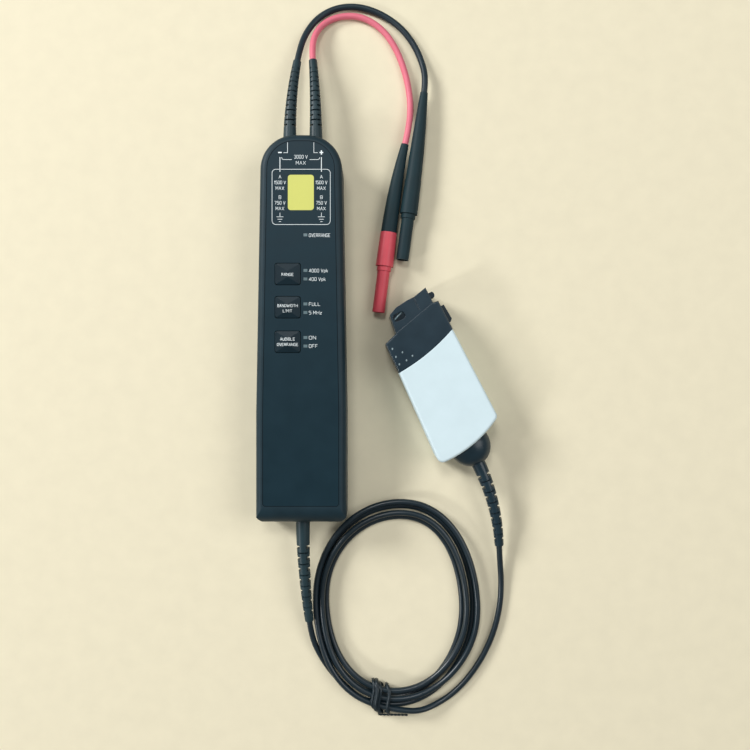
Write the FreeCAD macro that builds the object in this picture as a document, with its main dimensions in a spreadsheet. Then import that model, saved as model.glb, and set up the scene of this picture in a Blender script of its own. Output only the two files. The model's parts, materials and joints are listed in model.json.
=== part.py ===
import FreeCAD, Part
import math
import os
import re
import Sketcher

# High-voltage differential probe: a control box with two input leads in shrouded plugs, an output
# cable wound in a tied coil, and a compensation box that latches onto the instrument.
# Millimetres. Origin: middle of the control box's underside. +Y runs towards its inputs, +Z is up.

V = FreeCAD.Vector
UP = V(0, 0, 1)

# ------------------------------------------------------------------ driving dimensions
SIZES = {
    # control box
    "case_length": 237.7,
    "case_width": 55.2,
    "case_shoulder_width": 50.0,
    "case_height": 30.0,
    "case_parting": 15.0,
    "case_taper_start": 68.8,
    "case_shoulder_radius": 21.0,
    "case_corner_cut": 3.5,
    "case_wall": 2.2,
    "case_end_wall": 4.5,
    "case_skin": 3.0,
    "case_floor": 2.2,
    "case_edge_round": 4.0,
    "case_end_round": 10.0,
    "case_foot_chamfer": 1.2,
    "fit_gap": 0.1,
    "key_gap": 0.3,
    # front overlay, keys and indicators
    "overlay_inset": 4.4,
    "overlay_end_inset": 10.9,
    "overlay_thickness": 0.6,
    "key_length": 15.3,
    "key_width": 13.0,
    "key_corner": 1.6,
    "key_rise": 1.35,
    "key_rim": 0.25,
    "key_hip": 4.6,
    "key_lip": 1.2,
    "key_lip_thickness": 1.0,
    "key_stem": 4.0,
    "key_travel": 0.8,
    "key_column": -7.9,
    "range_key_row": 33.4,
    "bandwidth_key_row": 13.2,
    "audible_key_row": -7.8,
    "lamp_column": 2.9,
    "lamp_length": 2.4,
    "lamp_width": 1.8,
    "lamp_half_pitch": 2.6,
    "overrange_lamp_row": 57.2,
    "range_lamp_row": 33.0,
    "bandwidth_lamp_row": 12.6,
    "audible_lamp_row": -7.8,
    "lamp_chip_height": 1.2,
    # electronics of the control box
    "board_width": 32.0,
    "board_low_inset": 10.85,
    "board_high_inset": 16.85,
    "board_thickness": 1.6,
    "board_height": 10.0,
    "board_post_radius": 2.6,
    "board_post_inset": 3.2,
    "switch_size": 6.0,
    "switch_height": 3.5,
    "plunger_radius": 1.75,
    "plunger_rise": 2.0,
    "plunger_depth": 1.7,
    "resistor_radius": 1.7,
    "resistor_length": 7.5,
    "resistor_pitch": 9.4,
    "resistor_column": 8.2,
    "resistor_room": 48.7,
    "barrier_thickness": 1.5,
    "barrier_height": 9.0,
    "barrier_length": 48.0,
    "shield_length": 42.0,
    "shield_width": 28.0,
    "shield_height": 8.0,
    "shield_wall": 0.4,
    "shield_inset": 60.85,
    "chip_size": 7.0,
    "chip_height": 1.5,
    "chip_pitch": 12.0,
    "buzzer_radius": 6.0,
    "buzzer_height": 7.0,
    "buzzer_column": 9.0,
    "buzzer_gap": 9.0,
    "terminal_size": 5.0,
    "terminal_height": 6.0,
    "terminal_inset": 20.15,
    "output_block_length": 8.0,
    "output_block_width": 12.0,
    "output_block_height": 7.0,
    # screws of the control box
    "boss_radius": 3.0,
    "boss_low_column": 21.5,
    "boss_low_inset": 22.85,
    "boss_high_column": 19.6,
    "boss_high_inset": 34.85,
    "screw_radius": 1.25,
    "screw_head_radius": 2.3,
    "screw_head_height": 1.6,
    "screw_engagement": 6.0,
    "board_screw_radius": 1.0,
    "board_screw_head_radius": 1.8,
    "board_screw_head_height": 1.2,
    "board_screw_engagement": 4.0,
    # strain reliefs
    "input_spacing": 16.4,
    "lead_diameter": 4.0,
    "cable_diameter": 3.7,
    "input_boot_radius": 4.15,
    "input_boot_tip_radius": 2.6,
    "input_boot_collar": 6.0,
    "input_boot_flange": 1.5,
    "input_boot_flange_radius": 5.2,
    "input_boot_slots": 13.0,
    "input_boot_first_slot": 9.0,
    "input_boot_slot_pitch": 3.1,
    "input_boot_core": 0.36,
    "input_boot_side_slot": 1.1,
    "output_boot_radius": 4.5,
    "output_boot_tip_radius": 2.75,
    "output_boot_collar": 14.0,
    "output_boot_slots": 13.0,
    "output_boot_first_slot": 16.5,
    "output_boot_slot_pitch": 3.55,
    "output_boot_core": 0.5,
    "output_boot_side_slot": 2.0,
    "comp_boot_radius": 4.5,
    "comp_boot_tip_radius": 2.8,
    "comp_boot_slots": 13.0,
    "comp_boot_first_slot": 8.8,
    "comp_boot_slot_pitch": 3.55,
    "comp_boot_core": 0.5,
    "comp_boot_side_slot": 2.0,
    "comp_boot_root": 12.0,
    "comp_boot_flange": 1.5,
    "comp_boot_flange_radius": 6.0,
    "comp_boot_seat": 5.2,
    "boot_top_slot": 1.0,
    "boot_liner": 0.35,
    # shrouded plugs
    "plug_height": 5.65,
    "plug_shroud_radius": 4.0,
    "plug_shroud_bore": 3.2,
    "plug_shroud_length": 26.5,
    "plug_shroud_depth": 25.0,
    "plug_collar_radius": 4.55,
    "plug_collar_length": 3.0,
    "plug_grip_radius": 5.65,
    "plug_grip_rear_radius": 5.2,
    "plug_grip_length": 21.7,
    "plug_boot_radius": 5.0,
    "plug_boot_tip_radius": 2.4,
    "plug_boot_swell": 0.4,
    "plug_pin_radius": 1.55,
    "plug_pin_recess": 2.5,
    "plug_pin_seat": 12.0,
    "plug_cage_radius": 2.0,
    "plug_cage_end_radius": 1.75,
    "plug_cage_length": 12.0,
    "plug_cage_start": 6.0,
    # compensation box
    "comp_x": 104.65,
    "comp_y": -72.05,
    "comp_turn": 25.9,
    "comp_height": 26.0,
    "comp_parting": 13.0,
    "comp_near_left": 20.3,
    "comp_near_right": 21.1,
    "comp_far_left": 22.4,
    "comp_far_right": 22.6,
    "comp_near_left_row": 60.2,
    "comp_near_right_row": 70.3,
    "comp_far_left_row": -1.2,
    "comp_far_right_row": 9.6,
    "comp_far_bow": 75.0,
    "comp_near_bow": 122.0,
    "comp_corner_round": 3.8,
    "comp_edge_round": 1.6,
    "comp_wall": 2.2,
    "comp_skin": 2.2,
    "hood_edge_round": 0.9,
    "shoulder_left": 20.1,
    "shoulder_left_row": 79.9,
    "shoulder_right": 20.6,
    "shoulder_right_row": 89.6,
    "nose_left": 9.9,
    "nose_right": 17.2,
    "nose_left_root": 11.4,
    "nose_left_root_row": 82.8,
    "nose_right_root_row": 90.0,
    "nose_left_row": 94.8,
    "nose_bend": 4.5,
    "nose_bend_row": 97.2,
    "nose_step_left": 3.0,
    "nose_step_left_row": 98.2,
    "nose_step_right": 8.3,
    "nose_step_right_row": 98.3,
    "nose_right_row": 100.4,
    "hood_left": 7.6,
    "hood_right": 15.6,
    "hood_wall": 3.0,
    "hood_back": 80.0,
    "bulkhead": 3.0,
    "comp_cavity_left": 17.6,
    "comp_cavity_right": 18.2,
    "hood_slot_column": -5.3,
    "hood_slot_row": 91.4,
    "hood_slot_length": 8.0,
    "hood_slot_width": 4.6,
    "hood_slot_round": 2.1,
    "nose_drop": 0.5,
    "nose_groove_column": 7.8,
    "nose_groove_width": 0.8,
    "nose_groove_depth": 0.3,
    # instrument connector
    "barrel_column": 3.0,
    "barrel_radius": 4.05,
    "barrel_bore": 3.3,
    "barrel_length": 12.0,
    "barrel_wall": 1.2,
    "barrel_flange_radius": 6.0,
    "barrel_flange": 2.0,
    "insulator_length": 9.0,
    "centre_pin_radius": 0.7,
    "centre_pin_length": 9.5,
    "contact_count": 7.0,
    "contact_pitch": 2.0,
    "contact_radius": 0.5,
    "contact_reach": 2.5,
    "contact_travel": 1.0,
    "contact_block_length": 5.5,
    "contact_block_height": 4.0,
    "contact_block_margin": 1.0,
    "running_gap": 0.06,
    # latch
    "lever_thickness": 1.6,
    "lever_column": 14.4,
    "lever_low": 8.5,
    "lever_high": 17.5,
    "lever_pivot_row": 71.5,
    "lever_pivot_radius": 2.2,
    "lever_tip_row": 97.0,
    "lever_button_low": 74.8,
    "lever_button_high": 86.4,
    "lever_button_reach": 24.3,
    "lever_hook_reach": 21.2,
    "lever_hook_length": 3.8,
    "lever_clearance": 1.1,
    "latch_pin_radius": 1.0,
    "latch_pin_seat": 1.0,
    "latch_spring_wire": 0.6,
    "latch_spring_radius": 1.7,
    "latch_spring_pitch": 1.0,
    "latch_spring_turns": 2.0,
    "latch_spring_space": 3.2,
    # inside the compensation box
    "comp_board_width": 28.0,
    "comp_board_length": 54.0,
    "comp_board_start": 14.0,
    "comp_board_height": 8.4,
    "comp_post_radius": 2.4,
    "comp_post_inset": 4.0,
    "comp_boss_radius": 2.4,
    "comp_boss_column": 17.0,
    "comp_boss_low_row": 14.5,
    "comp_boss_high_row": 56.0,
    "comp_chip_size": 8.0,
    "dome_half_width": 13.0,
    "dome_depth": 13.7,
    "dome_half_height": 10.0,
    "dome_turn": 39.0,
    # coil and its tie
    "coil_gap": 0.5,
    "coil_climb_room": 1.3,
    "tie_lift": 1.1,
    "tie_thickness": 0.8,
    "tie_width": 5.6,
    "tie_second_width": 3.6,
    "tie_second_room": 0.9,
    "tie_spacing": 7.4,
    "tie_end_radius": 1.1,
    "tie_root_radius": 1.32,
    "tie_tail_length": 16.3,
    "tie_tail_offset": 1.43,
    "tie_tail_slope": 0.12,
}

doc = FreeCAD.newDocument("differential_probe")
dim = doc.addObject("Spreadsheet::Sheet", "dim")
for line, (alias, size) in enumerate(SIZES.items(), 1):
    dim.set(f"A{line}", alias)
    dim.set(f"B{line}", str(size))
    dim.setAlias(f"B{line}", alias)
doc.recompute()


# ------------------------------------------------------------------ formulas over the sheet
def from_sheet(formula):
    """The formula with each size's name pointed at the sheet."""
    return re.sub(r"[a-z]\w+", lambda word: "dim." + word.group() if word.group() in SIZES
                  else word.group(), formula)


def number(formula):
    """What a formula over the sheet comes to."""
    return float(dim.evalExpression(from_sheet(formula)))


def bind(thing, formulas):
    """Bind properties of an object to formulas over the sheet."""
    for name, formula in formulas.items():
        thing.setExpression(name, from_sheet(formula))


nodes = []


def sub_part(thing, label):
    """Keep an object as a piece of the probe, under its own label."""
    thing.Label = label
    nodes.append(thing)
    return thing


# ------------------------------------------------------------------ primitives and booleans
def box(name, x, y, z, length, width, height):
    """A box from its low corner."""
    thing = doc.addObject("Part::Box", name)
    bind(thing, {"Length": length, "Width": width, "Height": height,
                 "Placement.Base.x": x, "Placement.Base.y": y, "Placement.Base.z": z})
    return thing


TURNS = {"x": FreeCAD.Rotation(V(0, 1, 0), 90), "y": FreeCAD.Rotation(V(1, 0, 0), -90),
         "z": FreeCAD.Rotation()}


def cylinder(name, x, y, z, radius, height, along="z"):
    """A cylinder from the middle of its first end, along an axis."""
    thing = doc.addObject("Part::Cylinder", name)
    thing.Placement = FreeCAD.Placement(V(), TURNS[along])
    bind(thing, {"Radius": radius, "Height": height,
                 "Placement.Base.x": x, "Placement.Base.y": y, "Placement.Base.z": z})
    return thing


def cut(name, base, tool):
    """One object less another."""
    thing = doc.addObject("Part::Cut", name)
    thing.Base = base
    thing.Tool = tool
    return thing


def fuse(name, pieces):
    """Objects joined in one solid."""
    thing = doc.addObject("Part::MultiFuse", name)
    thing.Shapes = pieces
    return thing


def group(name, pieces):
    """Separate solids kept in one node."""
    thing = doc.addObject("Part::Compound", name)
    thing.Links = pieces
    return thing


def comp_place(thing):
    """Turn and move an object from the compensation box's own frame to the probe's."""
    bind(thing, {"Placement.Rotation.Angle": "comp_turn",
                 "Placement.Base.x": "comp_x", "Placement.Base.y": "comp_y"})
    return thing


# ------------------------------------------------------------------ bodies and sketches
def new_body(label):
    """An empty body, kept as a piece."""
    return sub_part(doc.addObject("PartDesign::Body", label), label)


def new_sketch(body, name, role, offset="0"):
    """A sketch on one of the body's own origin planes, moved along its normal."""
    plane = next(item for item in body.Origin.OriginFeatures if item.Role == role)
    sketch = body.newObject("Sketcher::SketchObject", name)
    sketch.AttachmentSupport = [(plane, "")]
    sketch.MapMode = "FlatFace"
    sketch.setExpression("AttachmentOffset.Base.z", from_sheet(offset))
    return sketch


def arc_edge(start, end, radius):
    """A circle's arc between two sketch points: counter-clockwise when the radius is positive."""
    first, last = (start, end) if radius > 0 else (end, start)
    half = (last - first) * 0.5
    rise = math.sqrt(max(radius * radius - half.Length ** 2, 0.0))
    centre = first + half + V(-half.y, half.x, 0).normalize() * rise
    angles = [math.atan2(point.y - centre.y, point.x - centre.x) for point in (first, last)]
    circle = Part.Circle(centre, UP, abs(radius))
    return Part.ArcOfCircle(circle, angles[0], angles[1])


def hold_coordinate(sketch, kind, axis, geometry, vertex, formula):
    """Fix one coordinate of a sketch point."""
    if formula == "0":
        sketch.addConstraint(Sketcher.Constraint("PointOnObject", geometry, vertex, axis))
        return
    held = Sketcher.Constraint(kind, -1, 1, geometry, vertex, number(formula))
    index = sketch.addConstraint(held)
    sketch.setExpression(f"Constraints[{index}]", from_sheet(formula))


def outline(sketch, corners):
    """A closed outline. A corner is x, y and the radius of the arc to the next one, or None."""
    points = [V(number(x), number(y), 0) for x, y, radius in corners]
    heads = []
    tails = []
    for index, (x, y, radius) in enumerate(corners):
        start = points[index]
        end = points[(index + 1) % len(points)]
        forward = radius is None or number(radius) > 0
        edge = Part.LineSegment(start, end) if radius is None else arc_edge(start, end, number(radius))
        geometry = sketch.addGeometry(edge, False)
        heads.append((geometry, 1 if forward else 2))
        tails.append((geometry, 2 if forward else 1))
        if radius is not None:
            size = Sketcher.Constraint("Radius", geometry, abs(number(radius)))
            held = sketch.addConstraint(size)
            sketch.setExpression(f"Constraints[{held}]", from_sheet(f"abs({radius})"))
    for index, (x, y, radius) in enumerate(corners):
        geometry, vertex = heads[index]
        sketch.addConstraint(Sketcher.Constraint("Coincident", *tails[index - 1], geometry, vertex))
        hold_coordinate(sketch, "DistanceX", -2, geometry, vertex, x)
        hold_coordinate(sketch, "DistanceY", -1, geometry, vertex, y)


def rounded_rectangle(x, y, length, width, radius):
    """Corners of a rectangle about a centre, with round corners."""
    left, right = f"{x} - ({length}) / 2", f"{x} + ({length}) / 2"
    low, high = f"{y} - ({width}) / 2", f"{y} + ({width}) / 2"
    return [(f"{left} + {radius}", low, None), (f"{right} - {radius}", low, radius),
            (right, f"{low} + {radius}", None), (right, f"{high} - {radius}", radius),
            (f"{right} - {radius}", high, None), (f"{left} + {radius}", high, radius),
            (left, f"{high} - {radius}", None), (left, f"{low} + {radius}", radius)]


def rectangle(left, right, low, high):
    """Corners of a rectangle from its sides."""
    return [(left, low, None), (right, low, None), (right, high, None), (left, high, None)]


def pad(body, sketch, length, reverse=False):
    """Raise a sketch into a solid."""
    thing = body.newObject("PartDesign::Pad", sketch.Name + "_pad")
    thing.Profile = sketch
    thing.Reversed = reverse
    bind(thing, {"Length": length})
    return thing


def pocket(body, sketch, depth, reverse=False):
    """Cut a sketch into the solid, against the sketch's normal unless reversed."""
    thing = body.newObject("PartDesign::Pocket", sketch.Name + "_pocket")
    thing.Profile = sketch
    thing.Reversed = reverse
    bind(thing, {"Length": depth})
    return thing


def round_edges(body, name, radius, kind, wanted):
    """Fillet or chamfer the edges of the body's tip that a test picks."""
    doc.recompute()
    base = body.Tip
    picked = [f"Edge{index}" for index, edge in enumerate(base.Shape.Edges, 1) if wanted(edge)]
    thing = body.newObject("PartDesign::" + kind, name)
    thing.Base = (base, picked)
    bind(thing, {"Radius" if kind == "Fillet" else "Size": radius})
    return thing


def body_cylinder(body, kind, name, x, y, z, radius, height, along="z"):
    """An additive or subtractive cylinder inside a body."""
    thing = body.newObject(f"PartDesign::{kind}Cylinder", name)
    thing.Placement = FreeCAD.Placement(V(), TURNS[along])
    bind(thing, {"Radius": radius, "Height": height,
                 "Placement.Base.x": x, "Placement.Base.y": y, "Placement.Base.z": z})
    return thing


def body_box(body, kind, name, x, y, z, length, width, height):
    """An additive or subtractive box inside a body."""
    thing = body.newObject(f"PartDesign::{kind}Box", name)
    bind(thing, {"Length": length, "Width": width, "Height": height,
                 "Placement.Base.x": x, "Placement.Base.y": y, "Placement.Base.z": z})
    return thing


def at_height(formula, row_limit="case_length"):
    """A test for edges at a height, whose middle lies below a row."""
    height = number(formula)
    limit = number(row_limit)

    def wanted(edge):
        level = all(abs(vertex.Point.z - height) < 0.01 for vertex in edge.Vertexes)
        return level and edge.CenterOfMass.y < limit
    return wanted


# ------------------------------------------------------------------ control box: shells
def case_outline(inset, end_inset, corner_cut):
    """The box's plan: parallel sides that draw in a little, round shoulders, cut rear corners."""
    low = f"{end_inset} - case_length / 2"
    high = f"case_length / 2 - {inset}"
    taper = "case_taper_start - case_length / 2"
    shoulder = "case_length / 2 - case_shoulder_radius"
    wide = f"case_width / 2 - {inset}"
    slim = f"case_shoulder_width / 2 - {inset}"
    flat = "case_shoulder_width / 2 - case_shoulder_radius"
    turn = f"case_shoulder_radius - {inset}"
    return [(f"{corner_cut} - ({wide})", low, None), (f"{wide} - {corner_cut}", low, None),
            (wide, f"{low} + {corner_cut}", None), (wide, taper, None),
            (slim, shoulder, turn), (flat, high, None),
            (f"-({flat})", high, turn), (f"-({slim})", shoulder, None),
            (f"-({wide})", taper, None), (f"-({wide})", f"{low} + {corner_cut}", None)]


KEYS = ["range", "bandwidth", "audible"]
LAMP_ROWS = ["overrange_lamp_row"] + [f"{key}_lamp_row {sign} lamp_half_pitch"
                                      for key in KEYS for sign in "+-"]
BOSSES = [(f"{side}boss_{end}_column", f"{sign}(case_length / 2 - boss_{end}_inset)")
          for side in ("", "-") for end, sign in (("low", "-"), ("high", ""))]


def cut_panel_holes(body, top, depth):
    """Key openings and lamp windows through the top of a body."""
    holes = new_sketch(body, body.Name + "_key_holes", "XY_Plane", top)
    for key in KEYS:
        outline(holes, rounded_rectangle("key_column", f"{key}_key_row", "key_length + 2 * key_gap",
                                         "key_width + 2 * key_gap", "key_corner"))
    pocket(body, holes, depth)
    windows = new_sketch(body, body.Name + "_lamp_windows", "XY_Plane", top)
    for row in LAMP_ROWS:
        outline(windows, rectangle("lamp_column - lamp_length / 2 - fit_gap",
                                   "lamp_column + lamp_length / 2 + fit_gap",
                                   f"{row} - lamp_width / 2 - fit_gap",
                                   f"{row} + lamp_width / 2 + fit_gap"))
    pocket(body, windows, depth)


def cut_boot_holes(body):
    """Half holes on the parting line for the three strain reliefs."""
    for side, sign in (("left", "-"), ("right", "")):
        body_cylinder(body, "Subtractive", f"{body.Name}_{side}_input_hole",
                      f"{sign}input_spacing / 2", "case_length / 2 - 3 * case_wall", "case_parting",
                      "input_boot_radius + fit_gap", "4 * case_wall", "y")
    body_cylinder(body, "Subtractive", body.Name + "_output_hole", "0",
                  "-case_length / 2 - case_wall", "case_parting",
                  "output_boot_radius + fit_gap", "case_end_wall + 2 * case_wall", "y")


def make_front_shell():
    body = new_body("front_shell")
    plan = new_sketch(body, "front_plan", "XY_Plane", "case_parting")
    outline(plan, case_outline("0", "0", "case_corner_cut"))
    pad(body, plan, "case_height - case_parting")
    round_edges(body, "front_rim", "case_edge_round", "Fillet", at_height("case_height"))
    brow = new_sketch(body, "front_brow", "YZ_Plane", "-case_width")
    end = "case_length / 2"
    outline(brow, [(f"-{end}", "case_height - case_end_round", "-case_end_round"),
                   (f"case_end_round - {end}", "case_height", None),
                   (f"case_end_round - {end}", "case_height + case_wall", None),
                   (f"-{end} - case_wall", "case_height + case_wall", None),
                   (f"-{end} - case_wall", "case_height - case_end_round", None)])
    pocket(body, brow, "2 * case_width", True)
    hollow = new_sketch(body, "front_hollow", "XY_Plane", "case_parting")
    outline(hollow, case_outline("case_wall", "case_end_wall", "case_corner_cut"))
    pocket(body, hollow, "case_height - case_parting - case_skin", True)
    seat = new_sketch(body, "front_overlay_seat", "XY_Plane", "case_height")
    outline(seat, case_outline("overlay_inset", "overlay_end_inset", "case_corner_cut / 3"))
    pocket(body, seat, "overlay_thickness")
    cut_panel_holes(body, "case_height", "2 * case_skin")
    for index, (x, y) in enumerate(BOSSES, 1):
        body_cylinder(body, "Additive", f"front_boss_{index}", x, y, "case_parting",
                      "boss_radius", "case_height - case_parting - case_skin + fit_gap")
        body_cylinder(body, "Subtractive", f"front_pilot_{index}", x, y, "case_parting",
                      "screw_radius + running_gap", "screw_engagement + running_gap")
    cut_boot_holes(body)


BOARD_LOW = "(board_low_inset - case_length / 2)"
BOARD_HIGH = "(case_length / 2 - board_high_inset)"
BOARD_CORNERS = [(f"{side}(board_width / 2 - board_post_inset)", row)
                 for side in ("", "-")
                 for row in (f"{BOARD_LOW} + board_post_inset", f"{BOARD_HIGH} - board_post_inset")]


def make_rear_shell():
    body = new_body("rear_shell")
    plan = new_sketch(body, "rear_plan", "XY_Plane")
    outline(plan, case_outline("0", "0", "case_corner_cut"))
    pad(body, plan, "case_parting")
    round_edges(body, "rear_foot", "case_foot_chamfer", "Chamfer", at_height("0"))
    hollow = new_sketch(body, "rear_hollow", "XY_Plane", "case_parting")
    outline(hollow, case_outline("case_wall", "case_end_wall", "case_corner_cut"))
    pocket(body, hollow, "case_parting - case_floor")
    for index, (x, y) in enumerate(BOSSES, 1):
        body_cylinder(body, "Additive", f"rear_boss_{index}", x, y, "case_floor - fit_gap",
                      "boss_radius", "case_parting - case_floor + fit_gap")
        body_cylinder(body, "Subtractive", f"rear_screw_hole_{index}", x, y, "0",
                      "screw_radius + fit_gap", "case_parting")
        body_cylinder(body, "Subtractive", f"rear_counterbore_{index}", x, y, "0",
                      "screw_head_radius + fit_gap", "screw_head_height + fit_gap")
    for index, (x, y) in enumerate(BOARD_CORNERS, 1):
        body_cylinder(body, "Additive", f"board_post_{index}", x, y, "case_floor - fit_gap",
                      "board_post_radius", "board_height - case_floor + fit_gap")
        body_cylinder(body, "Subtractive", f"board_pilot_{index}", x, y,
                      "board_height - board_screw_engagement - running_gap",
                      "board_screw_radius + running_gap", "board_screw_engagement + running_gap")
    cut_boot_holes(body)


def make_overlay():
    body = new_body("panel_overlay")
    plan = new_sketch(body, "overlay_plan", "XY_Plane", "case_height - overlay_thickness")
    outline(plan, case_outline("(overlay_inset + fit_gap)", "(overlay_end_inset + fit_gap)",
                               "case_corner_cut / 3"))
    pad(body, plan, "overlay_thickness")
    cut_panel_holes(body, "case_height", "overlay_thickness")


def screw(name, x, y, z, shank_radius, shank, head_radius, head, upward):
    """A pan screw from the meeting plane of its head and shank."""
    if upward:
        parts = [cylinder(name + "_shank", x, y, z, shank_radius, shank),
                 cylinder(name + "_head", x, y, f"{z} - {head}", head_radius, head)]
    else:
        parts = [cylinder(name + "_shank", x, y, f"{z} - ({shank})", shank_radius, shank),
                 cylinder(name + "_head", x, y, z, head_radius, head)]
    return fuse(name, parts)


def make_case_screws():
    screws = [screw(f"case_screw_{index}", x, y, "screw_head_height", "screw_radius",
                    "case_parting - screw_head_height + screw_engagement",
                    "screw_head_radius", "screw_head_height", True)
              for index, (x, y) in enumerate(BOSSES, 1)]
    sub_part(group("case_screw_set", screws), "case_screws")


# ------------------------------------------------------------------ control box: keys
PLUNGER_TOP = "board_height + board_thickness + switch_height + plunger_rise"
SKIN_UNDERSIDE = "case_height - case_skin"


def make_key(key):
    """A key with a low hipped top, a lip under the shell's skin and a stem down to its switch."""
    body = new_body(f"{key}_key")
    row = f"{key}_key_row"
    lip_top = f"{SKIN_UNDERSIDE} - fit_gap"
    lip = new_sketch(body, f"{key}_key_lip", "XY_Plane", f"{lip_top} - key_lip_thickness")
    outline(lip, rounded_rectangle("key_column", row, "key_length + 2 * key_lip",
                                   "key_width + 2 * key_lip", "key_corner"))
    pad(body, lip, "key_lip_thickness")
    cap = new_sketch(body, f"{key}_key_cap", "XY_Plane", lip_top)
    outline(cap, rounded_rectangle("key_column", row, "key_length", "key_width", "key_corner"))
    pad(body, cap, "case_skin + fit_gap + key_rise")
    ridge = "case_height + key_rise"
    rim = "case_height + key_rim"
    above = f"{ridge} + key_rise"
    left, right = (f"key_column {sign} key_length / 2" for sign in "-+")
    low, high = (f"{row} {sign} key_width / 2" for sign in "-+")
    slopes = new_sketch(body, f"{key}_key_slopes", "XZ_Plane", f"-({high})")
    outline(slopes, [(left, rim, None), ("key_column", ridge, None), (right, rim, None),
                     (right, above, None), (left, above, None)])
    pocket(body, slopes, "key_width", True)
    hips = new_sketch(body, f"{key}_key_hips", "YZ_Plane", right)
    outline(hips, [(low, rim, None), (f"{low} + key_hip", ridge, None),
                   (f"{high} - key_hip", ridge, None), (high, rim, None),
                   (high, above, None), (low, above, None)])
    pocket(body, hips, "key_length")
    body_box(body, "Additive", f"{key}_key_stem", "key_column - key_stem / 2",
             f"{row} - key_stem / 2", PLUNGER_TOP, "key_stem", "key_stem",
             f"{lip_top} - ({PLUNGER_TOP})")


def make_switches():
    """Tact switches on the board, each with a plunger that the key's stem rests on."""
    housings = []
    for key in KEYS:
        row = f"{key}_key_row"
        housing = box(f"{key}_switch_case", "key_column - switch_size / 2",
                      f"{row} - switch_size / 2", "board_height + board_thickness",
                      "switch_size", "switch_size", "switch_height")
        bore = cylinder(f"{key}_switch_bore", "key_column", row,
                        "board_height + board_thickness + switch_height"
                        " - plunger_depth - key_travel - fit_gap",
                        "plunger_radius + running_gap", "switch_height")
        housings.append(cut(f"{key}_switch_housing", housing, bore))
        plunger = cylinder(f"{key}_plunger", "key_column", row,
                           f"{PLUNGER_TOP} - plunger_rise - plunger_depth",
                           "plunger_radius", "plunger_rise + plunger_depth")
        sub_part(plunger, f"{key}_switch_plunger")
    sub_part(group("switch_set", housings), "tact_switches")


def make_lamps():
    """Surface lamps on the board, with a light pipe over each up to the overlay's face."""
    chip_top = "board_height + board_thickness + lamp_chip_height"
    chips = []
    pipes = []
    for index, row in enumerate(LAMP_ROWS, 1):
        corner = ("lamp_column - lamp_length / 2", f"{row} - lamp_width / 2")
        chips.append(box(f"lamp_chip_{index}", *corner, "board_height + board_thickness",
                         "lamp_length", "lamp_width", "lamp_chip_height"))
        pipes.append(box(f"light_pipe_{index}", *corner, f"{chip_top} + fit_gap",
                         "lamp_length", "lamp_width", f"case_height - ({chip_top}) - fit_gap"))
    sub_part(group("lamp_set", chips), "indicator_lamps")
    sub_part(group("light_pipe_set", pipes), "light_pipes")


# ------------------------------------------------------------------ control box: electronics
BOARD_TOP = "board_height + board_thickness"


def make_main_board():
    body = new_body("main_board")
    plan = new_sketch(body, "board_plan", "XY_Plane", "board_height")
    outline(plan, rectangle("-board_width / 2", "board_width / 2", BOARD_LOW, BOARD_HIGH))
    pad(body, plan, "board_thickness")
    for index, (x, y) in enumerate(BOARD_CORNERS, 1):
        body_cylinder(body, "Subtractive", f"board_hole_{index}", x, y, "board_height - fit_gap",
                      "board_screw_radius + fit_gap", "board_thickness + 2 * fit_gap")
    screws = [screw(f"board_screw_{index}", x, y, BOARD_TOP, "board_screw_radius",
                    "board_thickness + board_screw_engagement",
                    "board_screw_head_radius", "board_screw_head_height", False)
              for index, (x, y) in enumerate(BOARD_CORNERS, 1)]
    sub_part(group("board_screw_set", screws), "board_screws")


TERMINAL_ROW = "(case_length / 2 - terminal_inset)"
RESISTOR_START = f"({TERMINAL_ROW} - resistor_room)"
SHIELD_ROW = "(shield_inset - case_length / 2)"


def make_attenuator():
    """Two chains of high-voltage resistors, one per input, with an insulating wall between."""
    resistors = []
    for side, sign in (("left", "-"), ("right", "")):
        for index in range(5):
            resistors.append(cylinder(f"{side}_resistor_{index + 1}", f"{sign}resistor_column",
                                      f"{RESISTOR_START} + {index} * resistor_pitch",
                                      f"{BOARD_TOP} + resistor_radius", "resistor_radius",
                                      "resistor_length", "y"))
    sub_part(group("resistor_set", resistors), "attenuator_resistors")
    wall = box("barrier_wall", "-barrier_thickness / 2", RESISTOR_START, BOARD_TOP,
               "barrier_thickness", "barrier_length", "barrier_height")
    window = box("barrier_window", "-barrier_thickness", "overrange_lamp_row - lamp_length",
                 f"{BOARD_TOP} + barrier_height / 2", "2 * barrier_thickness", "2 * lamp_length",
                 "barrier_height")
    sub_part(cut("barrier_cut", wall, window), "isolation_barrier")


def make_amplifier():
    """The amplifier's chips on the board, under a folded shield can."""
    outer = box("shield_outer", "-shield_width / 2", f"{SHIELD_ROW} - shield_length / 2",
                BOARD_TOP, "shield_width", "shield_length", "shield_height")
    inner = box("shield_inner", "shield_wall - shield_width / 2",
                f"{SHIELD_ROW} - shield_length / 2 + shield_wall", f"{BOARD_TOP} - shield_wall",
                "shield_width - 2 * shield_wall", "shield_length - 2 * shield_wall",
                "shield_height")
    sub_part(cut("shield_cut", outer, inner), "shield_can")
    chips = [box(f"amplifier_chip_{index + 2}", "-chip_size / 2",
                 f"{SHIELD_ROW} + ({index}) * chip_pitch - chip_size / 2", BOARD_TOP,
                 "chip_size", "chip_size", "chip_height") for index in (-1, 0, 1)]
    sub_part(group("chip_set", chips), "amplifier_chips")
    buzzer_row = f"{SHIELD_ROW} + shield_length / 2 + buzzer_gap + buzzer_radius"
    sub_part(cylinder("buzzer_can", "buzzer_column", buzzer_row, BOARD_TOP,
                      "buzzer_radius", "buzzer_height"), "buzzer")


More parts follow.
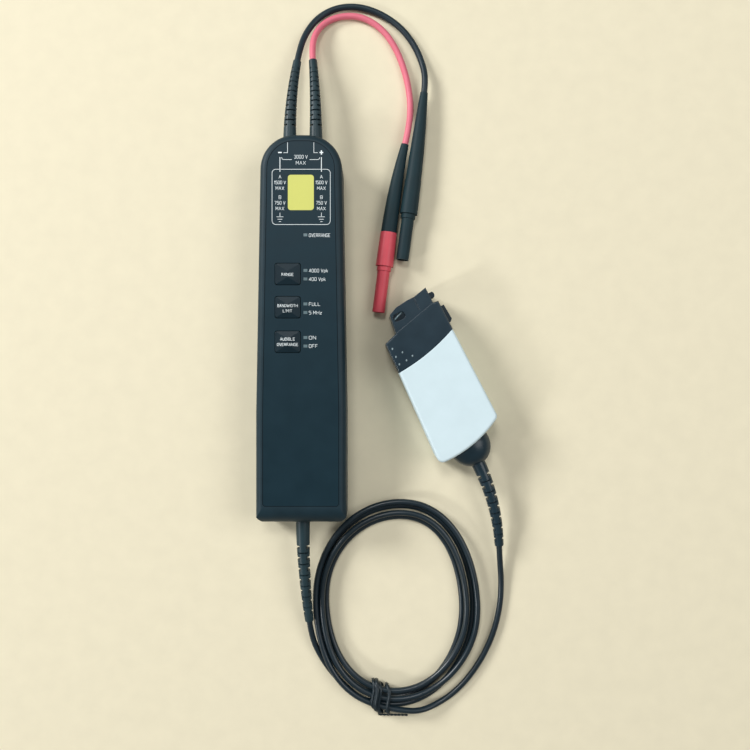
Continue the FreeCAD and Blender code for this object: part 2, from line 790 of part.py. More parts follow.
def make_terminals():
    """Blocks on the board that the input leads and the output cable end in."""
    blocks = [box(f"{side}_terminal", f"{sign}input_spacing / 2 - terminal_size / 2",
                  f"{TERMINAL_ROW} - terminal_size / 2", BOARD_TOP,
                  "terminal_size", "terminal_size", "terminal_height")
              for side, sign in (("left", "-"), ("right", ""))]
    sub_part(group("terminal_set", blocks), "input_terminals")
    sub_part(box("output_block", "-output_block_width / 2", BOARD_LOW, BOARD_TOP,
                 "output_block_width", "output_block_length", "output_block_height"),
             "output_connector")


# ------------------------------------------------------------------ curved axes and tubes
def arc_axis(start, direction, end):
    """A point and a heading at each share of the circle's arc from start, heading off, to end."""
    chord = end - start
    heading = V(direction).normalize()
    side = chord - heading * chord.dot(heading)
    half_turn = math.atan2(side.Length, chord.dot(heading))
    radius = chord.Length / (2 * math.sin(half_turn))
    side.normalize()

    def station(share):
        angle = 2 * half_turn * share
        point = start + heading * (radius * math.sin(angle)) + side * (radius * (1 - math.cos(angle)))
        return point, heading * math.cos(angle) + side * math.sin(angle)
    station.length = 2 * half_turn * radius
    return station


def arc_of(axis, first=0.0, last=1.0):
    """The edge of an axis between two shares."""
    middle = (first + last) / 2
    return Part.Arc(axis(first)[0], axis(middle)[0], axis(last)[0]).toShape()


def tube(edges, radius):
    """A round tube along a smooth run of edges."""
    path = Part.Wire(edges)
    start = path.Edges[0]
    first = start.valueAt(start.FirstParameter)
    heading = start.tangentAt(start.FirstParameter)
    ring = Part.Wire([Part.makeCircle(radius, first, heading)])
    return path.makePipeShell([ring], True, False)


def feature(label, shape):
    """A piece whose shape is made here from the sheet's sizes."""
    thing = doc.addObject("Part::Feature", label)
    thing.Shape = shape
    return sub_part(thing, label)


def radius_at(share, first_radius, last_radius, swell):
    """The radius at a share of a taper, which swells by so much at its middle."""
    return first_radius + (last_radius - first_radius) * share + 4 * swell * share * (1 - share)


def taper(axis, first_radius, last_radius, swell=0.0):
    """A round taper along an axis."""
    rings = []
    for share in (0, 0.25, 0.5, 0.75, 1):
        point, heading = axis(share)
        radius = radius_at(share, first_radius, last_radius, swell)
        rings.append(Part.Wire([Part.makeCircle(radius, point, heading)]))
    return Part.makeLoft(rings, True, False)


def slot_tools(axis, kind):
    """Pairs of cutters through a boot's wall, by turns at its sides and at its top and bottom.

    What they leave standing between them is the core's share of the boot's width there.
    """
    pitch = number(f"{kind}_boot_slot_pitch")
    first = number(f"{kind}_boot_first_slot")
    base = number(f"{kind}_boot_radius")
    reach = 2 * base
    tools = []
    for index in range(round(number(f"{kind}_boot_slots"))):
        share = (first + index * pitch) / axis.length
        point, heading = axis(share)
        core = number(f"{kind}_boot_core") * radius_at(share, base,
                                                       number(f"{kind}_boot_tip_radius"), 0)
        across = heading.cross(UP).normalize()
        above = across.cross(heading)
        if index % 2 == 0:
            outward, width = across, number(f"{kind}_boot_side_slot")
        else:
            outward, width = above, number("boot_top_slot")
        turn = FreeCAD.Rotation(outward, heading, outward.cross(heading), "XYZ")
        for start in (core, -core - reach):
            cutter = Part.makeBox(reach, width, 2 * reach)
            low = V(start, -width / 2, -reach)
            cutter.Placement = FreeCAD.Placement(point + turn.multVec(low), turn)
            tools.append(cutter)
    return tools


def boot_shape(axis, kind, root, bore):
    """A tapered boot along an axis, fused to its root, and the radius of its bore.

    Its slots stop at a liner round the bore.
    """
    body = taper(axis, number(f"{kind}_boot_radius"), number(f"{kind}_boot_tip_radius")).fuse(root)
    bore_radius = bore / 2 + number("running_gap")
    margin = 0.01
    liner = tube([arc_of(axis, margin, 1 - margin)], bore_radius + number("boot_liner"))
    return body.cut(slot_tools(axis, kind)).fuse(liner), bore_radius


LEAD = number("lead_diameter")
CABLE = number("cable_diameter")
BOOT_HEIGHT = number("case_parting")
CASE_END = number("case_length") / 2
PLUG_HEIGHT = number("plug_height")

# Tips of the boots and of the plugs' own boots, where the free stretches begin and end.
BLACK_BOOT_TIP = V(-4.0, 170.3, 10.0)
RED_BOOT_TIP = V(5.9, 170.9, 10.0)
OUTPUT_BOOT_TIP = V(3.5, -183.8, 8.0)
COMP_BOOT_TIP = V(124.2, -136.1, 7.0)
BLACK_PLUG_TIP = V(76.5, 152.1, PLUG_HEIGHT)
RED_PLUG_TIP = V(64.3, 119.1, PLUG_HEIGHT)


def make_case_boot(label, end_label, kind, root, tip, heading, inner_end, bore):
    """A boot that leaves the box, and the stretch of cord that runs through it to its terminal."""
    flange_at = root - heading * (number("case_end_wall") if kind == "output" else
                                  3 * number("case_wall"))
    collar = number(f"{kind}_boot_radius")
    flange = number("input_boot_flange")
    neck = Part.makeCylinder(collar, (root - flange_at).Length, flange_at, heading)
    disc = Part.makeCylinder(collar + number("input_boot_flange_radius")
                             - number("input_boot_radius"), flange,
                             flange_at - heading * flange, heading)
    axis = arc_axis(root, heading, tip)
    shape, bore_radius = boot_shape(axis, kind, neck.fuse(disc), bore)
    line = Part.LineSegment(inner_end, root).toShape()
    hole = tube([Part.LineSegment(flange_at - heading * (2 * flange), root).toShape(),
                 arc_of(axis)], bore_radius)
    feature(label, shape.cut(hole))
    feature(end_label, tube([line, arc_of(axis)], bore / 2))
    return axis(1)[1]


# ------------------------------------------------------------------ shrouded plugs
def plug_frame(thing, mouth, turn):
    """Lay a plug on its side with its mouth at a point, turned about the vertical."""
    thing.Placement = FreeCAD.Placement(mouth, FreeCAD.Rotation(UP, turn))
    bind(thing, {"Placement.Base.z": "plug_height"})


def revolve(body, sketch):
    """Turn a half profile about the body's Y axis."""
    thing = body.newObject("PartDesign::Revolution", sketch.Name + "_turned")
    thing.Profile = sketch
    thing.ReferenceAxis = (sketch, ["V_Axis"])
    thing.Angle = 360


def make_plug(colour, mouth, tip, turn):
    """One plug: insulated body with its shroud, contact pin, spring cage and cord boot."""
    body = new_body(f"{colour}_plug_body")
    profile = new_sketch(body, f"{colour}_plug_profile", "XY_Plane")
    collar_end = "plug_shroud_length + plug_collar_length"
    grip_end = f"{collar_end} + plug_grip_length"
    seat = "plug_pin_radius + running_gap"
    outline(profile, [("plug_shroud_bore", "0", None), ("plug_shroud_radius", "0", None),
                      ("plug_shroud_radius", "plug_shroud_length", None),
                      ("plug_collar_radius", "plug_shroud_length", None),
                      ("plug_collar_radius", collar_end, None),
                      ("plug_grip_radius", collar_end, None),
                      ("plug_grip_rear_radius", grip_end, None),
                      ("0", grip_end, None),
                      ("0", "plug_shroud_depth + plug_pin_seat + running_gap", None),
                      (seat, "plug_shroud_depth + plug_pin_seat + running_gap", None),
                      (seat, "plug_shroud_depth", None),
                      ("plug_shroud_bore", "plug_shroud_depth", None)])
    revolve(body, profile)
    plug_frame(body, mouth, turn)

    pin = new_body(f"{colour}_plug_pin")
    core = new_sketch(pin, f"{colour}_pin_profile", "XY_Plane")
    nose = "plug_pin_radius / 2"
    outline(core, [("0", "plug_pin_recess", None), (nose, "plug_pin_recess", None),
                   ("plug_pin_radius", f"plug_pin_recess + {nose}", None),
                   ("plug_pin_radius", "plug_shroud_depth + plug_pin_seat", None),
                   ("0", "plug_shroud_depth + plug_pin_seat", None)])
    revolve(pin, core)
    plug_frame(pin, mouth, turn)

    cage = new_body(f"{colour}_plug_cage")
    leaf = new_sketch(cage, f"{colour}_cage_profile", "XY_Plane")
    inside = "plug_pin_radius + running_gap"
    start = "plug_cage_start"
    outline(leaf, [(inside, start, None), ("plug_cage_end_radius", start, None),
                   ("plug_cage_radius", f"{start} + plug_cage_length / 3", None),
                   ("plug_cage_radius", f"{start} + plug_cage_length * 2 / 3", None),
                   ("plug_cage_end_radius", f"{start} + plug_cage_length", None),
                   (inside, f"{start} + plug_cage_length", None)])
    revolve(cage, leaf)
    plug_frame(cage, mouth, turn)

    heading = FreeCAD.Rotation(UP, turn).multVec(V(0, 1, 0))
    rear = mouth + heading * number(grip_end)
    axis = arc_axis(rear, heading, tip)
    feature(f"{colour}_plug_boot", taper(axis, number("plug_boot_radius"),
                                         number("plug_boot_tip_radius"),
                                         number("plug_boot_swell")))
    return axis(1)[1]


# ------------------------------------------------------------------ compensation box: shells
NEAR_EDGE = "comp_near_left_row - comp_wall"


def shell_plan():
    """Plan of the pale shell: a skewed box, bowed at its far end and hollowed at its near end."""
    return [("-comp_far_left", "comp_far_left_row", "comp_far_bow"),
            ("comp_far_right", "comp_far_right_row", None),
            ("comp_near_right", "comp_near_right_row", "-comp_near_bow"),
            ("-comp_near_left", "comp_near_left_row", None)]


def shell_hollow():
    """Plan of the space inside the shell, open towards the hood."""
    return [("comp_wall - comp_far_left", "comp_far_left_row + comp_wall",
             "comp_far_bow - comp_wall"),
            ("comp_far_right - comp_wall", "comp_far_right_row + comp_wall", None),
            ("comp_near_right - comp_wall", "comp_near_right_row + comp_wall", None),
            ("comp_wall - comp_near_left", "comp_near_left_row + comp_wall", None)]


COMP_BOSSES = [("-comp_boss_column", "comp_boss_low_row - comp_far_right_row"),
               ("-comp_boss_column", "comp_boss_high_row - comp_far_right_row"),
               ("comp_boss_column", "comp_boss_low_row"),
               ("comp_boss_column", "comp_boss_high_row")]
COMP_POSTS = [(f"{side}(comp_board_width / 2 - comp_post_inset)", row)
              for side in ("", "-")
              for row in ("comp_board_start + comp_post_inset",
                          "comp_board_start + comp_board_length - 4 * comp_post_inset")]


def far_corner(edge):
    """A test for the upright edges at the shell's far end."""
    rows = [vertex.Point.y for vertex in edge.Vertexes]
    upright = abs(edge.Vertexes[0].Point.z - edge.Vertexes[-1].Point.z) > 1
    return upright and max(rows) < number("comp_far_right_row") + 0.5


def start_comp_shell(label, low, height, face, hollow_low, hollow_reversed):
    """Half of the pale shell, with its rounded outside, its hollow and its cable hole."""
    body = new_body(label)
    plan = new_sketch(body, label + "_plan", "XY_Plane", low)
    outline(plan, shell_plan())
    pad(body, plan, height)
    round_edges(body, label + "_corners", "comp_corner_round", "Fillet", far_corner)
    round_edges(body, label + "_rim", "comp_edge_round", "Fillet", at_height(face, NEAR_EDGE))
    hollow = new_sketch(body, label + "_hollow", "XY_Plane", hollow_low)
    outline(hollow, shell_hollow())
    pocket(body, hollow, f"{height} - comp_skin", hollow_reversed)
    return body


def cut_cable_hole(body):
    """The half hole in the far wall for the cable's boot."""
    body_cylinder(body, "Subtractive", body.Name + "_cable_hole", "0", "-comp_boot_root",
                  "comp_parting", "comp_boot_radius + fit_gap",
                  "comp_boot_root + comp_boot_seat", "y")


def make_comp_shells():
    upper = start_comp_shell("comp_shell_upper", "comp_parting", "(comp_height - comp_parting)",
                             "comp_height", "comp_parting", True)
    lower = start_comp_shell("comp_shell_lower", "0", "comp_parting", "0", "comp_parting", False)
    for index, (x, y) in enumerate(COMP_BOSSES, 1):
        body_cylinder(upper, "Additive", f"upper_boss_{index}", x, y, "comp_parting",
                      "comp_boss_radius", "comp_height - comp_parting - comp_skin + fit_gap")
        body_cylinder(upper, "Subtractive", f"upper_pilot_{index}", x, y, "comp_parting",
                      "board_screw_radius + running_gap", "screw_engagement + running_gap")
        body_cylinder(lower, "Additive", f"lower_boss_{index}", x, y, "comp_skin - fit_gap",
                      "comp_boss_radius", "comp_parting - comp_skin + fit_gap")
        body_cylinder(lower, "Subtractive", f"lower_screw_hole_{index}", x, y, "0",
                      "board_screw_radius + fit_gap", "comp_parting")
        body_cylinder(lower, "Subtractive", f"lower_counterbore_{index}", x, y, "0",
                      "board_screw_head_radius + fit_gap", "board_screw_head_height + fit_gap")
    for index, (x, y) in enumerate(COMP_POSTS, 1):
        body_cylinder(lower, "Additive", f"lower_post_{index}", x, y, "comp_skin - fit_gap",
                      "comp_post_radius", "comp_board_height - comp_skin + fit_gap")
    for body in (upper, lower):
        cut_cable_hole(body)
        comp_place(body)
    screws = [screw(f"comp_screw_{index}", x, y, "board_screw_head_height", "board_screw_radius",
                    "comp_parting - board_screw_head_height + screw_engagement",
                    "board_screw_head_radius", "board_screw_head_height", True)
              for index, (x, y) in enumerate(COMP_BOSSES, 1)]
    sub_part(comp_place(group("comp_screw_set", screws)), "comp_screws")


def make_hood():
    """The dark front housing: shoulders, a stepped nose and the hood over the connector."""
    body = new_body("connector_hood")
    plan = new_sketch(body, "hood_plan", "XY_Plane")
    outline(plan, [("-comp_near_left", "comp_near_left_row", "comp_near_bow"),
                   ("comp_near_right", "comp_near_right_row", None),
                   ("shoulder_right", "shoulder_right_row", None),
                   ("nose_right", "nose_right_root_row", None),
                   ("nose_right - fit_gap", "nose_right_row", None),
                   ("nose_step_right", "nose_step_right_row", None),
                   ("nose_step_left", "nose_step_left_row", None),
                   ("-nose_bend", "nose_bend_row", None),
                   ("-nose_left", "nose_left_row", None),
                   ("-nose_left_root", "nose_left_root_row", None),
                   ("-shoulder_left", "shoulder_left_row", None)])
    pad(body, plan, "comp_height")
    near_middle = (number("comp_near_left_row") + number("comp_near_right_row")) / 2

    def rim(edge):
        return any(at_height(face)(edge) for face in ("0", "comp_height")) and not (
            abs(edge.CenterOfMass.y - near_middle) < 4 and edge.Length > number("comp_near_left"))
    round_edges(body, "hood_rim", "hood_edge_round", "Fillet", rim)
    hood = new_sketch(body, "hood_space", "XY_Plane", "hood_wall")
    outline(hood, rectangle("-hood_left", "hood_right", "hood_back", "nose_right_row + hood_wall"))
    pocket(body, hood, "comp_height - 2 * hood_wall", True)
    rear = new_sketch(body, "hood_rear_space", "XY_Plane", "comp_skin")
    outline(rear, rectangle("-comp_cavity_left", "comp_cavity_right",
                            "comp_near_left_row - 2 * comp_wall", "hood_back - bulkhead"))
    pocket(body, rear, "comp_height - 2 * comp_skin", True)
    for end, start, height in (("low", "comp_skin - fit_gap", "lever_low - comp_skin"),
                               ("high", "lever_high + latch_spring_space",
                                "comp_height - comp_skin - lever_high - latch_spring_space"
                                " + fit_gap")):
        body_cylinder(body, "Additive", f"hood_pin_boss_{end}", "lever_column", "lever_pivot_row",
                      start, "lever_pivot_radius", height)
    body_cylinder(body, "Subtractive", "hood_pin_hole", "lever_column", "lever_pivot_row",
                  "comp_skin - latch_pin_seat", "latch_pin_radius + running_gap",
                  "comp_height - 2 * (comp_skin - latch_pin_seat)")
    inner = "lever_column - lever_thickness / 2"
    swing = "lever_high - lever_low + lever_clearance"
    low = "lever_low - lever_clearance / 2"
    body_box(body, "Subtractive", "hood_button_window", f"{inner} - 2 * lever_clearance",
             "lever_button_low - lever_clearance / 2", low, "lever_button_reach",
             "lever_button_high - lever_button_low + 1.5 * lever_clearance", swing)
    body_box(body, "Subtractive", "hood_hook_window", inner,
             "lever_tip_row - lever_hook_length - lever_clearance / 2", low,
             "lever_hook_reach", "lever_hook_length + 1.5 * lever_clearance", swing)
    step = new_sketch(body, "nose_step", "XY_Plane", "comp_height")
    outline(step, [("-nose_left_root", "nose_left_root_row", None),
                   ("nose_right", "nose_right_root_row", None),
                   ("2 * nose_right", "nose_right_root_row", None),
                   ("2 * nose_right", "nose_right_row + hood_wall", None),
                   ("-2 * nose_left_root", "nose_right_row + hood_wall", None),
                   ("-2 * nose_left_root", "nose_left_root_row", None)])
    pocket(body, step, "nose_drop")
    groove = new_sketch(body, "nose_groove", "XY_Plane", "comp_height")
    outline(groove, rectangle("nose_groove_column - nose_groove_width / 2",
                              "nose_groove_column + nose_groove_width / 2",
                              "nose_right_root_row", "nose_right_row"))
    pocket(body, groove, "nose_drop + nose_groove_depth")
    slot = new_sketch(body, "hood_top_slot", "XY_Plane", "comp_height")
    outline(slot, rounded_rectangle("hood_slot_column", "hood_slot_row", "hood_slot_length",
                                    "hood_slot_width", "hood_slot_round"))
    pocket(body, slot, "hood_wall + fit_gap")
    body_cylinder(body, "Subtractive", "hood_barrel_hole", "barrel_column",
                  "hood_back - bulkhead - fit_gap", "comp_parting", "barrel_bore + fit_gap",
                  "bulkhead + 2 * fit_gap", "y")
    comp_place(body)


def make_latch():
    """The release lever with its button and hook, its pivot pin and its torsion spring."""
    lever = new_body("latch_lever")
    plan = new_sketch(lever, "lever_plan", "XY_Plane", "lever_low")
    inner = "lever_column - lever_thickness / 2"
    outer = "lever_column + lever_thickness / 2"
    hook_low = "lever_tip_row - lever_hook_length"
    shelf = "lever_hook_reach - lever_hook_length / 4"
    outline(plan, [(inner, "lever_pivot_row", None), (outer, "lever_pivot_row", None),
                   (outer, "lever_button_low", None),
                   ("lever_button_reach - lever_thickness", "lever_button_low", None),
                   ("lever_button_reach", "lever_button_low + lever_thickness", None),
                   ("lever_button_reach - lever_thickness / 2", "lever_button_high", None),
                   (outer, "lever_button_high", None), (outer, hook_low, None),
                   (shelf, hook_low, "lever_hook_length * 0.7"), (shelf, "lever_tip_row", None),
                   (inner, "lever_tip_row", None)])
    pad(lever, plan, "lever_high - lever_low")
    body_cylinder(lever, "Additive", "lever_hub", "lever_column", "lever_pivot_row", "lever_low",
                  "lever_pivot_radius", "lever_high - lever_low")
    body_cylinder(lever, "Subtractive", "lever_bore", "lever_column", "lever_pivot_row",
                  "lever_low - fit_gap", "latch_pin_radius + running_gap",
                  "lever_high - lever_low + 2 * fit_gap")
    comp_place(lever)
    pin = cylinder("pivot_pin", "lever_column", "lever_pivot_row",
                   "comp_skin - latch_pin_seat + running_gap", "latch_pin_radius",
                   "comp_height - 2 * (comp_skin - latch_pin_seat + running_gap)")
    sub_part(comp_place(group("pivot_pin_set", [pin])), "latch_pin")
    centre = V(number("lever_column"), number("lever_pivot_row"), number("lever_high"))
    radius = number("latch_spring_radius")
    rise = number("latch_spring_pitch") / 4
    start = number("latch_spring_wire") / 2 + number("key_gap")
    stations = []
    for quarter in range(4 * round(number("latch_spring_turns")) + 1):
        angle = quarter * math.pi / 2
        point = centre + V(radius * math.cos(angle), radius * math.sin(angle), start + rise * quarter)
        heading = V(-math.sin(angle) * radius, math.cos(angle) * radius, rise * 2 / math.pi)
        stations.append((point, heading.normalize()))
    spring = feature("latch_spring", tube(winding(stations), number("latch_spring_wire") / 2))
    comp_place(spring)


def make_connector():
    """The coaxial barrel with its insulator and pin, and the row of sprung contacts below it."""
    flange_end = "hood_back + barrel_flange"
    mouth = "hood_back + barrel_length"
    tail = "hood_back - bulkhead - barrel_flange"
    core = "centre_pin_radius + running_gap"
    sleeve = "barrel_bore - barrel_wall"
    profiles = {
        "connector_barrel": [("barrel_bore", flange_end, None), (sleeve, flange_end, None),
                             (sleeve, tail, None), ("barrel_bore", tail, None),
                             ("barrel_bore", "hood_back", None),
                             ("barrel_flange_radius", "hood_back", None),
                             ("barrel_flange_radius", flange_end, None),
                             ("barrel_radius", flange_end, None), ("barrel_radius", mouth, None),
                             ("barrel_bore", mouth, None)],
        "connector_insulator": [(core, flange_end, None),
                                ("barrel_bore - running_gap", flange_end, None),
                                ("barrel_bore - running_gap", f"{flange_end} + barrel_flange", None),
                                ("barrel_bore / 2", f"{flange_end} + barrel_flange", None),
                                ("barrel_bore / 2", "hood_back + insulator_length", None),
                                (core, "hood_back + insulator_length", None)],
        "connector_pin": [("0", tail, None), ("centre_pin_radius", tail, None),
                          ("centre_pin_radius", "hood_back + centre_pin_length", None),
                          ("centre_pin_radius / 2", "hood_back + centre_pin_length"
                           " + centre_pin_radius", None),
                          ("0", "hood_back + centre_pin_length + centre_pin_radius", None)],
    }
    for label, corners in profiles.items():
        body = new_body(label)
        sketch = new_sketch(body, label + "_profile", "XY_Plane")
        outline(sketch, corners)
        revolve(body, sketch)
        bind(body, {"Placement.Rotation.Angle": "comp_turn",
                    "Placement.Base.x": "comp_x + barrel_column * cos(comp_turn * 1 deg)",
                    "Placement.Base.y": "comp_y + barrel_column * sin(comp_turn * 1 deg)",
                    "Placement.Base.z": "comp_parting"})
    count = round(number("contact_count"))
    length = "contact_pitch * (contact_count - 1) + 2 * (contact_radius + contact_block_margin)"
    height = "hood_wall + contact_block_height / 2"
    block = box("contact_blank", f"barrel_column - ({length}) / 2", "hood_back", "hood_wall",
                length, "contact_block_length", "contact_block_height")
    bores = []
    contacts = []
    for index in range(count):
        column = f"barrel_column + ({index} - (contact_count - 1) / 2) * contact_pitch"
        seat = "hood_back + running_gap + fit_gap"
        bores.append(cylinder(f"contact_bore_{index + 1}", column, seat, height,
                              "contact_radius + running_gap", "contact_block_length", "y"))
        contacts.append(cylinder(f"contact_{index + 1}", column, f"{seat} + contact_travel + fit_gap",
                                 height, "contact_radius",
                                 "contact_block_length + contact_reach - contact_travel"
                                 " - running_gap - 2 * fit_gap", "y"))
    sub_part(comp_place(cut("contact_block_cut", block, fuse("contact_bores", bores))),
             "contact_block")
    sub_part(comp_place(group("contact_set", contacts)), "sprung_contacts")


def make_comp_board():
    """The board between the cable and the connector, with its chips and the cable's block."""
    top = "comp_board_height + board_thickness"
    board = box("comp_board_blank", "-comp_board_width / 2", "comp_board_start",
                "comp_board_height", "comp_board_width", "comp_board_length", "board_thickness")
    sub_part(comp_place(group("comp_board_set", [board])), "comp_board")
    middle = "comp_board_start + comp_board_length / 2"
    chips = [box(f"comp_chip_{index + 1}", "-comp_chip_size / 2",
                 f"{middle} + {index} * 2 * comp_chip_size - comp_chip_size / 2", top,
                 "comp_chip_size", "comp_chip_size", "chip_height") for index in (0, 1)]
    sub_part(comp_place(group("comp_chip_set", chips)), "comp_chips")
    block = box("cable_block_blank", "-output_block_width / 2", "comp_board_start", top,
                "output_block_width", "output_block_length", f"2 * (comp_parting - ({top}))")
    sub_part(comp_place(group("cable_block_set", [block])), "cable_block")


def make_comp_boot():
    """The glossy dome on the shell's far end and the cable's ribbed boot, moulded in one."""
    turn = FreeCAD.Rotation(UP, number("comp_turn"))
    origin = V(number("comp_x"), number("comp_y"), number("comp_parting"))
    heading = turn.multVec(V(0, -1, 0))
    root = origin + heading * number("comp_boot_root")
    seat = origin - heading * number("comp_boot_seat")
    scale = FreeCAD.Matrix()
    scale.scale(number("dome_half_width"), number("dome_depth"), number("dome_half_height"))
    dome = Part.makeSphere(1.0).transformGeometry(scale)
    dome.Placement = FreeCAD.Placement(origin, FreeCAD.Rotation(UP, number("dome_turn")))
    radius = number("comp_boot_radius")
    neck = Part.makeCylinder(radius, (root - seat).Length, seat, heading)
    flange = number("comp_boot_flange")
    disc = Part.makeCylinder(number("comp_boot_flange_radius"), flange,
                             seat - heading * flange, heading)
    shells = [doc.getObject(label + "_plan_pad") for label in ("comp_shell_upper",
                                                               "comp_shell_lower")]
    place = doc.getObject("comp_shell_upper").Placement
    for shell in shells:
        solid = shell.Shape.copy()
        solid.Placement = place
        dome = dome.cut(solid)
    axis = arc_axis(root, heading, COMP_BOOT_TIP)
    shape, bore_radius = boot_shape(axis, "comp", neck.fuse([disc, dome]), CABLE)
    hole = tube([Part.LineSegment(seat - heading * (2 * flange), root).toShape(), arc_of(axis)],
                bore_radius)
    feature("comp_boot", shape.cut(hole))
    inner_end = origin - heading * (number("comp_board_start"))
    feature("comp_cable_end", tube([Part.LineSegment(inner_end, root).toShape(), arc_of(axis)],
                                   CABLE / 2))
    return axis(1)[1]


# ------------------------------------------------------------------ cords
def rounded_route(name, points):
    """Straight runs joined by tangent arcs, each as large as its two runs allow."""
    edges = []
    radii = []
    start = points[0]
    for before, corner, after in zip(points, points[1:], points[2:]):
        arriving = corner - before
        leaving = after - corner
        turn = arriving.getAngle(leaving)
        reach = 0.45 * min(arriving.Length, leaving.Length)
        radii.append(reach / math.tan(turn / 2))
        entry = corner - V(arriving).normalize() * reach
        leave = corner + V(leaving).normalize() * reach
        middle = arc_axis(entry, arriving, leave)(0.5)[0]
        edges.append(Part.LineSegment(start, entry).toShape())
        edges.append(Part.Arc(entry, middle, leave).toShape())
        start = leave
    edges.append(Part.LineSegment(start, points[-1]).toShape())
    print(name, "bend radii", [round(radius) for radius in radii])
    return edges


def winding(stations):
    """Two arcs from each station to the next, smooth through the headings at both."""
    edges = []
    for (start, first), (end, last) in zip(stations, stations[1:]):
        across = end - start
        both = across.dot(first + last)
        spread = 2 * (1 - first.dot(last))
        reach = (math.sqrt(both * both + spread * across.dot(across)) - both) / spread
        meeting = (start + first * reach + end - last * reach) * 0.5
        opening = arc_axis(start, first, meeting)
        edges.append(arc_of(opening))
        edges.append(arc_of(arc_axis(meeting, opening(1)[1], end)))
    return edges


def cord(label, edges, diameter):
    """A cord's tube, its volume held against its section times its length."""
    shape = tube(edges, diameter / 2)
    length = sum(edge.Length for edge in edges)
    expected = math.pi * diameter ** 2 / 4 * length
    print(label, "length", round(length, 1), "volume ratio", round(shape.Volume / expected, 4))
    return feature(label, shape)


def least_self_gap(edges, diameter):
    """The least gap between a winding's turns, on points along it."""
    spacing = 1.5
    points = []
    for edge in edges:
        steps = max(2, round(edge.Length / spacing))
        for index in range(steps):
            share = edge.FirstParameter + (edge.LastParameter - edge.FirstParameter) * index / steps
            points.append(edge.valueAt(share))
    apart = round(6 * diameter / spacing)
    return min((points[first] - points[last]).Length for first in range(len(points))
               for last in range(first + apart, len(points))) - diameter


# Quarter points of the coil's outermost turn from the tie on: place, heading, distance between
# turns there, how far the upper layer stands outside the lower one, and whether the tie lifts it.
COIL_QUARTERS = [
    (V(48.4, -238.6, 0), V(0.978, -0.209, 0), 5.2, 0.0, 1),
    (V(110.0, -178.6, 0), V(0, 1, 0), 7.0, 6.1, 0),
    (V(62.0, -108.0, 0), V(-1, 0, 0), 7.0, 3.0, 0),
    (V(5.1, -169.5, 0), V(0, -1, 0), 4.2, -1.0, 0),
]
COIL_TURNS = 4


def coil_stations():
    """Two turns spiral in on the floor, climb as the spiral reverses, and two spiral out on top."""
    layer = CABLE + number("coil_gap")
    lift = number("tie_lift")
    stations = []
    for quarter in range(4 * COIL_TURNS + 1):
        place, heading, pitch, shift, tied = COIL_QUARTERS[quarter % 4]
        upper = quarter >= 2 * COIL_TURNS
        inward = min(quarter, 4 * COIL_TURNS - quarter) / 4
        climbs_next = quarter == 2 * COIL_TURNS - 1
        room = number("coil_climb_room") if climbs_next else 0
        inside = UP.cross(heading)
        offset = inside * (inward * pitch + room - (shift if upper else 0))
        height = CABLE / 2 + lift * tied + (layer if upper else 0)
        stations.append((place + offset + V(0, 0, height), V(heading).normalize()))
    return stations


def make_cords(black_exit, red_exit, black_entry, red_entry, output_exit, comp_entry):
    """The two input leads, and the output cable with its coil."""
    run = 9.0
    black = [BLACK_BOOT_TIP, BLACK_BOOT_TIP + black_exit * run,
             V(1.0, 190.5, 5.2), V(8.6, 201.6, 2.6), V(20.5, 208.2, 2.0), V(35.0, 209.0, 2.0),
             V(49.0, 204.3, 2.0), V(61.5, 195.8, 2.0), V(70.5, 184.3, 2.0), V(75.8, 171.5, 3.0),
             BLACK_PLUG_TIP + black_entry * run, BLACK_PLUG_TIP]
    red = [RED_BOOT_TIP, RED_BOOT_TIP + red_exit * run,
           V(7.0, 190.5, 5.2), V(13.6, 198.9, 2.6), V(24.5, 203.0, 2.0), V(37.5, 202.2, 2.0),
           V(49.3, 194.9, 2.0), V(57.6, 184.0, 2.0), V(63.4, 170.5, 2.0), V(67.0, 156.0, 2.0),
           V(68.1, 142.0, 3.2), RED_PLUG_TIP + red_entry * run, RED_PLUG_TIP]
    cord("black_lead", rounded_route("black_lead", black), LEAD)
    cord("red_lead", rounded_route("red_lead", red), LEAD)
    stations = coil_stations()
    (first, first_heading), (last, last_heading) = stations[0], stations[-1]
    coil_start = first - first_heading * CABLE
    coil_end = last + last_heading * CABLE
    turns = winding(stations)
    edges = [Part.LineSegment(coil_start, first).toShape(), *turns,
             Part.LineSegment(last, coil_end).toShape()]
    print("output_cable_coil least self gap", round(least_self_gap(edges, CABLE), 2))
    cord("output_cable_coil", edges, CABLE)
    start = [OUTPUT_BOOT_TIP, OUTPUT_BOOT_TIP + output_exit * run,
             V(8.0, -204.0, 3.4), V(15.5, -216.5, 2.0), V(25.0, -227.2, 2.0),
             coil_start - first_heading * run, coil_start]
    cord("output_cable_start", rounded_route("output_cable_start", start), CABLE)
    tail = [coil_end, coil_end + last_heading * run,
            V(73.5, -242.4, 6.6), V(86.0, -238.6, 2.8), V(97.5, -231.0, 1.85),
            V(107.5, -219.8, 1.85), V(116.0, -206.3, 1.85), V(122.3, -191.2, 1.85),
            V(125.8, -175.0, 1.85), V(126.3, -159.5, 2.6),
            COMP_BOOT_TIP + comp_entry * run, COMP_BOOT_TIP]
    cord("output_cable_tail", rounded_route("output_cable_tail", tail), CABLE)
    return first, first_heading


